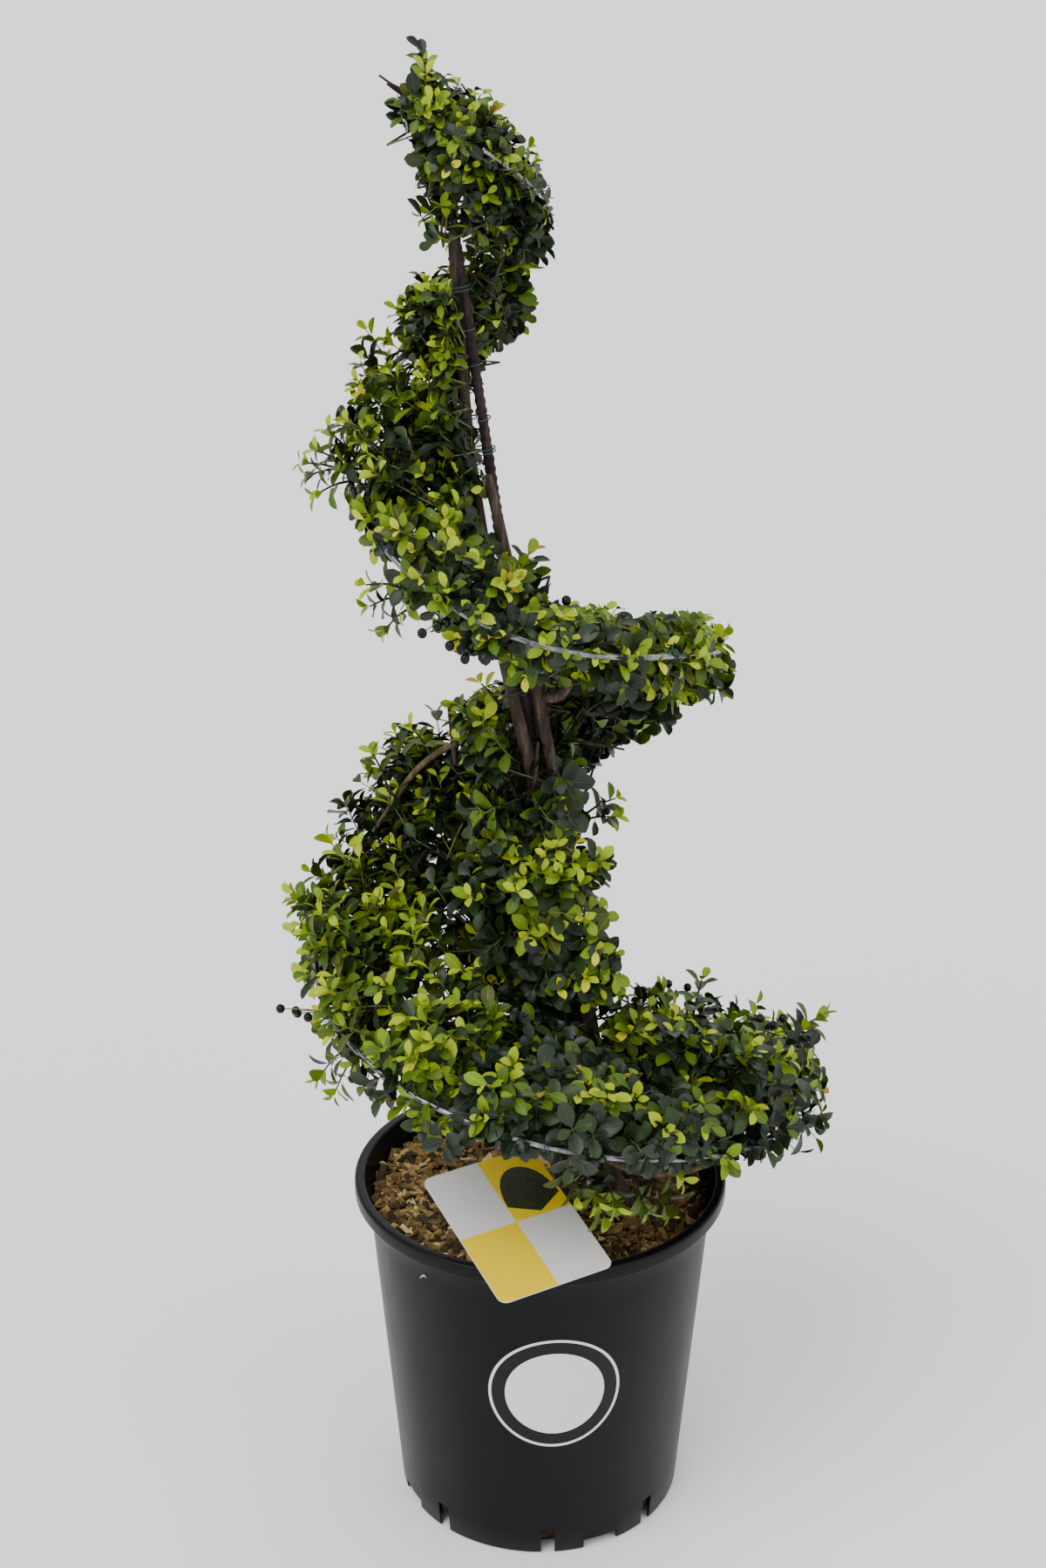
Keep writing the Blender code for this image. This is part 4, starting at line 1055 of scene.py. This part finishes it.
def turned(profile, sides):
    """Corners and faces of a solid turned from an outline that ends on the axis."""
    corners = []
    faces = []
    rings = []
    for radius, height in profile:
        if radius == 0.0:
            rings.append([len(corners)] * sides)
            corners.append((0.0, 0.0, height))
            continue
        rings.append(list(range(len(corners), len(corners) + sides)))
        for corner in range(sides):
            angle = 2 * math.pi * corner / sides
            corners.append((radius * math.cos(angle), radius * math.sin(angle), height))
    for low, high in zip(rings, rings[1:]):
        for corner in range(sides):
            after = (corner + 1) % sides
            face = (low[corner], low[after], high[after], high[corner])
            faces.append(tuple(dict.fromkeys(face)))
    return corners, faces


def arc(centre, radius, first_deg, last_deg, count):
    angles = np.radians(np.linspace(first_deg, last_deg, count))
    return [(centre[0] + radius * math.cos(a), centre[1] + radius * math.sin(a)) for a in angles]


def wall_radius(height):
    """The pot's outer radius at a height below its lip."""
    share = height / (POT_HEIGHT - RIM_LIP_HEIGHT)
    return POT_BASE_RADIUS + (POT_WALL_TOP_RADIUS - POT_BASE_RADIUS) * share


def cutter(size, centre, turn):
    """The mesh of a box that cuts the pot's foot."""
    box = bmesh.new()
    bmesh.ops.create_cube(box, size=1.0)
    bmesh.ops.scale(box, vec=size, verts=box.verts)
    mesh = bpy.data.meshes.new("foot_cut")
    box.to_mesh(mesh)
    box.free()
    thing = bpy.data.objects.new("foot_cut", mesh)
    thing.location = centre
    thing.rotation_euler = (0, 0, turn)
    return thing


def make_pot():
    """The moulded pot: a thin shell with a rounded lip, drain slots and foot notches."""
    lip = POT_HEIGHT - RIM_LIP_HEIGHT
    inner = POT_BASE_RADIUS - POT_WALL
    step = FLOOR_RADIUS + POT_WALL
    wall = [(wall_radius(z), z) for z in np.linspace(0.0015, lip - 0.004, 14)]
    profile = [(0.0, 0.0), (step, 0.0), (step + POT_WALL, CHANNEL_HEIGHT)]
    profile += [(inner, CHANNEL_HEIGHT), (inner, 0.0)]
    profile += [(POT_BASE_RADIUS - 0.0008, 0.0), *wall]
    profile += [(POT_WALL_TOP_RADIUS + 0.0008, lip - 0.0018), (POT_RIM_RADIUS - 0.0046, lip - 0.0006)]
    profile += [(POT_RIM_RADIUS - 0.0018, lip - 0.0002)]
    profile += arc((POT_RIM_RADIUS - 0.0012, lip + 0.0012), 0.0012, -90, 0, 5)
    profile += arc((POT_RIM_RADIUS - 0.0026, POT_HEIGHT - 0.0026), 0.0026, 0, 90, 7)
    profile += arc((RIM_INNER_RADIUS + 0.0022, POT_HEIGHT - 0.0022), 0.0022, 90, 180, 7)
    profile += [(RIM_INNER_RADIUS - 0.0002, lip + 0.003), (POT_WALL_TOP_RADIUS - POT_WALL, lip - 0.004)]
    profile += [(inner + 0.0012, CHANNEL_HEIGHT + POT_WALL), (step, CHANNEL_HEIGHT + POT_WALL)]
    profile += [(FLOOR_RADIUS, 0.0025), (0.0, 0.0025)]
    corners, faces = turned(profile, POT_SIDES)
    mesh = bpy.data.meshes.new("pot_shell")
    mesh.from_pydata(corners, [], faces)
    pot = add_object("pot_shell", mesh)
    cuts = bpy.data.collections.new("foot_cuts")
    for (count, start, width, height), depth, reach in ((SLOTS, 0.020, -0.001), (NOTCHES, 0.012, 0.001)):
        for index in range(count):
            turn = math.radians(start - 90.0 + 360.0 * index / count)
            radius = POT_BASE_RADIUS + reach
            centre = (radius * math.cos(turn), radius * math.sin(turn), 0.5 * (height - 0.010))
            cuts.objects.link(cutter((depth, width, height + 0.010), centre, turn))
    cut = pot.modifiers.new("foot", "BOOLEAN")
    cut.operand_type = "COLLECTION"
    cut.collection = cuts
    cut.solver = "EXACT"
    graph = bpy.context.evaluated_depsgraph_get()
    shaped = bpy.data.meshes.new_from_object(pot.evaluated_get(graph))
    pot.modifiers.remove(cut)
    pot.data = shaped
    for box in list(cuts.objects):
        bpy.data.objects.remove(box, do_unlink=True)
    bpy.data.collections.remove(cuts)
    shaped.materials.clear()
    shaped.materials.append(pot_material())
    shaped.shade_smooth()
    shaped.set_sharp_from_angle(angle=math.radians(32))
    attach(pot, "root")
    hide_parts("pot")


def on_wall(sideways, height, stand):
    """A point on the pot's wall, by the arc length from its front and the height."""
    radius = wall_radius(height)
    turn = sideways / radius - 0.5 * math.pi
    return ((radius + stand) * math.cos(turn), (radius + stand) * math.sin(turn), height)


def make_sticker():
    """A round sticker on the wall: a pale disc, a black band and a pale edge."""
    middle = math.radians(STICKER_TURN_DEG) * wall_radius(STICKER_HEIGHT)
    disc, band, edge = STICKER_RADII
    rings = [(disc * k / 12, 0) for k in range(1, 13)]
    rings += [(disc + (band - disc) * k / 3, 1) for k in range(1, 4)]
    rings += [(band + (edge - band) * k / 2, 0) for k in range(1, 3)]
    rings += [(edge + STICKER_LIP, 1)]
    corners = [on_wall(middle, STICKER_HEIGHT, STICKER_STANDS[0])]
    for index, (radius, slot) in enumerate(rings, 1):
        stand = STICKER_STANDS[index == len(rings)]
        for corner in range(STICKER_SIDES):
            angle = 2 * math.pi * corner / STICKER_SIDES
            place = (middle + radius * math.cos(angle), STICKER_HEIGHT + radius * math.sin(angle))
            corners.append(on_wall(*place, stand))
    faces = 1 + limb_faces(len(rings), STICKER_SIDES)[:, [0, 3, 2, 1]]
    sticker = Gathering()
    sticker.add(corners, faces, np.repeat([slot for radius, slot in rings[1:]], STICKER_SIDES))
    sticker.more([(0, k, 1 + k % STICKER_SIDES) for k in range(1, STICKER_SIDES + 1)])
    pale = grained_material("sticker_pale", (0.72, 0.72, 0.70), 0.42, 0.4, *STICKER_GRAIN)
    black = grained_material("sticker_black", (0.005, 0.005, 0.006), 0.38, 0.2, *STICKER_GRAIN)
    sticker.build("round_sticker", "label_board", [pale, black])


def make_scratch():
    scratch = Gathering()
    points = curve_through([on_wall(*place, 0.0002) for place in SCRATCH], 12)
    scratch.limb(points, 0.0009 * np.sin(np.linspace(0.25, math.pi - 0.1, 12)), 6)
    scratch.build("wall_scratch", "pot_plastic", [new_material("scratch_pale", (0.45, 0.45, 0.46), 0.7)[0]])


def card_places(local):
    """Points of the card, from its own plane to the frame."""
    tilt, yaw, spin = (math.radians(angle) for angle in CARD_TURN_DEG)
    turn = Euler((0, 0, yaw)).to_matrix() @ Euler((tilt, 0, 0)).to_matrix()
    turn = turn @ Euler((0, 0, spin)).to_matrix()
    return np.asarray(local, float) @ np.array(turn).T + CARD_CENTRE


def rounded_outline(half_x, half_y, corner, steps):
    points = []
    for quarter, (x, y) in enumerate(((1, 1), (-1, 1), (-1, -1), (1, -1))):
        centre = ((half_x - corner) * x, (half_y - corner) * y)
        points += arc(centre, corner, 90 * quarter, 90 * quarter + 90, steps + 1)
    return points


def make_card():
    """The label card, with two yellow quarters and a plain green mound, and no lettering."""
    card = Gathering()
    outline = rounded_outline(CARD_SIZE[0] / 2, CARD_SIZE[1] / 2, CARD_CORNER, 8)
    count = len(outline)
    levels = (0.0, 0.15 * CARD_THICKNESS, 0.85 * CARD_THICKNESS, CARD_THICKNESS)
    insets = (CARD_EDGE, 1.0, 1.0, CARD_EDGE)
    corners = [(x * k, y * k, z) for z, k in zip(levels, insets) for x, y in outline]
    card.add(card_places(corners), limb_faces(len(levels), count))
    top = [(x * CARD_EDGE, y * CARD_EDGE, CARD_THICKNESS) for x, y in outline]
    top = np.array([*top, (0, 0, CARD_THICKNESS)])
    around, after = np.arange(count), np.roll(np.arange(count), -1)
    middle = np.full(count, count)
    card.add(card_places(top), np.column_stack([around, after, middle]))
    card.add(card_places(top * (1, 1, 0)), np.column_stack([after, around, middle]))
    print_level = CARD_THICKNESS + PRINT_STAND
    for sign in (1, -1):
        quarter = [(x * 0.997, y * 0.997) for x, y in outline if x * sign > 0 and y * sign > 0]
        ends = (sign * CARD_SIZE[0] * 0.4985, sign * CARD_SIZE[1] * 0.4985)
        ring = [(0.0, 0.0), (ends[0], 0.0), *quarter, (0.0, ends[1])]
        fan = [(0, k, k + 1) for k in range(1, len(ring) - 1)]
        card.add(card_places([(x, y, print_level) for x, y in ring]), fan, 1)
    left, foot, half, rise = MOUND
    mound = [(left + half * (1 + math.cos(a)), foot + rise * math.sin(a) ** 0.7)
             for a in np.linspace(math.pi, 0, 22)[1:-1]]
    places = card_places([(x, y, print_level * 1.05) for x, y in [(left + half, foot), *mound]])
    card.add(places, [(0, k + 1, k) for k in range(1, len(mound))], 2)
    board = grained_material("card_white", (0.70, 0.69, 0.65), 0.34, 0.45, *CARD_GRAIN)
    yellow = grained_material("card_yellow", (0.86, 0.62, 0.004), 0.34, 0.45, *CARD_GRAIN)
    green, tree, shader = new_material("card_green", (0.03, 0.05, 0.015), 0.4, specular=0.4)
    stops = ((0.35, (0.008, 0.012, 0.006)), (0.55, (0.030, 0.042, 0.014)), (0.70, (0.085, 0.100, 0.035)))
    paint(tree, shader, noise(tree, 900.0, 4.0), stops)
    card.build("label_print", "label_board", [board, yellow, green], "label_card", smooth=False)


def make_chips():
    """Bark chips and crumbs that lie loosely over the filling."""
    box = np.array([(x, y, z) for z in (-1, 1) for x, y in ((-1, -1), (1, -1), (1, 1), (-1, 1))], float)
    sides = [(0, 3, 2, 1), (4, 5, 6, 7), (0, 1, 5, 4), (1, 2, 6, 5), (2, 3, 7, 6), (3, 0, 4, 7)]
    chips = Gathering()
    for index in range(CHIPS + CRUMBS):
        reach = SOIL_RADIUS * math.sqrt(random.uniform(0, 1))
        angle = random.uniform(0, 2 * math.pi)
        length = random.uniform(0.0012, 0.003)
        if index < CHIPS:
            length = random.uniform(0.004, 0.0115) * random.uniform(0.6, 1.0)
        size = np.array([length, length * random.uniform(0.20, 0.44), random.uniform(0.0006, 0.0015)])
        corners = box * size * random.uniform(0.72, 1.15, (8, 3))
        turn = Euler((random.normal(0, 0.35), random.normal(0, 0.32), random.uniform(0, 6.283))).to_matrix()
        ground = SOIL_TOP - SOIL_DROP * (reach / SOIL_RADIUS) ** 3
        place = (reach * math.cos(angle), reach * math.sin(angle), ground + random.uniform(0.000, 0.0045))
        tone = random.choice(len(CHIP_TONES), p=CHIP_SHARES)
        chips.add(corners @ np.array(turn).T + place, sides, tone)
    materials = [chip_material(*row) for row in CHIP_TONES]
    chips.build("bark_chips", "bark_and_peat", materials, smooth=False)


# Ties of coated wire: on the stems, by height, loop radius and loops, and on the
# frame, by how far round it they are.
TIE_RADIUS = 0.00055
TIE_PITCH = 0.0026
STEM_TIES = (
    (0.990, 0.0080, 2.1),
    (0.961, 0.0085, 1.4),
    (0.937, 0.0072, 0.9),
    (0.8986, 0.0100, 1.0),
    (0.8755, 0.0072, 1.9),
    (0.696, 0.0180, 1.2),
    (0.595, 0.0200, 1.4),
    (0.430, 0.0240, 1.1),
)
WIRE_TIES = (
    -0.06, 0.05, 0.12, 0.17, 0.215, 0.27, 0.36, 0.45, 0.52,
    0.60, 0.78, 0.95, 1.10, 1.26, 1.37, 1.52, 1.70, 1.90,
)


def make_ties():
    ties = Gathering()

    def loop(centre, way, radius, turns, tail):
        side = unit(np.cross(way, (0.2, 0.9, 0.35)))
        other = np.cross(way, side)
        first = random.uniform(0, 2 * math.pi)
        angles = first + np.linspace(0, 2 * math.pi * turns, int(18 * turns) + 8)
        rise = np.linspace(-0.5, 0.5, len(angles)) * TIE_PITCH * turns
        wobble = radius * (1 + 0.08 * np.sin(2 * angles + first))
        points = centre + np.cos(angles)[:, None] * side * wobble[:, None]
        points = points + np.sin(angles)[:, None] * other * wobble[:, None] + rise[:, None] * way
        out = unit(points[-1] - centre)
        end = points[-1] + out * tail + way * random.normal(0, 0.004)
        points = np.vstack([points, points[-1] + 0.5 * (end - points[-1]) + way * 0.001, end])
        ties.limb(points, np.full(len(points), TIE_RADIUS), 6)

    for height, radius, turns in STEM_TIES:
        aside = np.array([radius - leader_radius(height) - 0.0014, 0.0, 0.0])
        loop(leader_centre(height) - aside, unit((LEADER_LEAN, 0.0, 1.0)), radius, turns, 0.005)
    for turn in WIRE_TIES:
        way = unit(ramp_point(turn + 0.002, 1.0) - ramp_point(turn - 0.002, 1.0))
        centre = ramp_point(turn, 1.0) - outward(turn) * 0.0022
        loop(centre, way, 0.0048, random.uniform(1.2, 2.4), 0.006)
    coat = new_material("tie_coating", (0.010, 0.040, 0.042), 0.42)[0]
    ties.build("wire_ties", "galvanised_wire", [coat])


def make_wire():
    """The galvanised frame with its leg, as smooth round wire."""
    wire = Gathering()
    turns = np.linspace(WIRE_START, WIRE_END, 340)
    points = np.array([ramp_point(turn, 1.0) for turn in turns])
    wire.limb(points, np.full(len(points), WIRE_RADIUS), 12)
    back = unit(points[0] - points[1])
    foot = np.array([*WIRE_LEG_FOOT, SOIL_TOP - 0.004])
    leg = curve_through([points[0], points[0] + back * 0.014, foot + (0, 0, 0.030), foot], 40)
    wire.limb(leg, np.full(len(leg), WIRE_RADIUS), 12)
    # Between these turns the wire gets its darker material.
    darker = (turns > DARKER_TURNS[0]) & (turns < DARKER_TURNS[1])
    wire.slots[0] = np.repeat(darker[:-1].astype(int), len(wire.faces[0]) // (len(turns) - 1))
    materials = [wire_material(*shade) for shade in WIRE_SHADES]
    nodes = [f"training_wire_{k}" for k in range(1, 10)]
    wire.build("wire_frame", "galvanised_wire", materials, *nodes, "training_wire_leg")


def make_camera_and_light():
    camera = add_object("camera", bpy.data.cameras.new("camera"))
    camera.location = CAMERA_PLACE
    camera.rotation_euler = (math.radians(90 - CAMERA_PITCH_DEG), 0, 0)
    camera.data.lens = CAMERA_LENS_MM
    camera.data.sensor_width = CAMERA_SENSOR_MM
    bpy.context.scene.camera = camera
    for name, place, spread, power in SUNS:
        light = bpy.data.lights.new(name, "SUN")
        light.angle = math.radians(spread)
        light.energy = power
        thing = add_object(name, light)
        thing.location = place
        thing.rotation_euler = (-Vector(place)).to_track_quat("-Z", "Y").to_euler()
    world = bpy.data.worlds.new("studio")
    world.use_nodes = True
    fill(world.node_tree.nodes["Background"], {"Color": (0.90, 0.90, 0.92, 1.0), "Strength": 0.93})
    bpy.context.scene.world = world


def make_floor():
    mesh = bpy.data.meshes.new("floor")
    shape = bmesh.new()
    bmesh.ops.create_circle(shape, cap_ends=True, segments=96, radius=80.0)
    shape.to_mesh(mesh)
    shape.free()
    mesh.materials.append(new_material("floor_pale", (0.965, 0.955, 0.955), 0.9)[0])
    floor = add_object("floor", mesh)
    floor.location = (0.0, 0.0, -0.0005)


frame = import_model()
make_camera_and_light()
make_floor()
make_pot()
make_sticker()
make_scratch()
make_card()
frame["nodes"]["soil"].data.materials.clear()
frame["nodes"]["soil"].data.materials.append(soil_material())
make_chips()
make_wire()
make_ties()
make_crown(*make_stems())
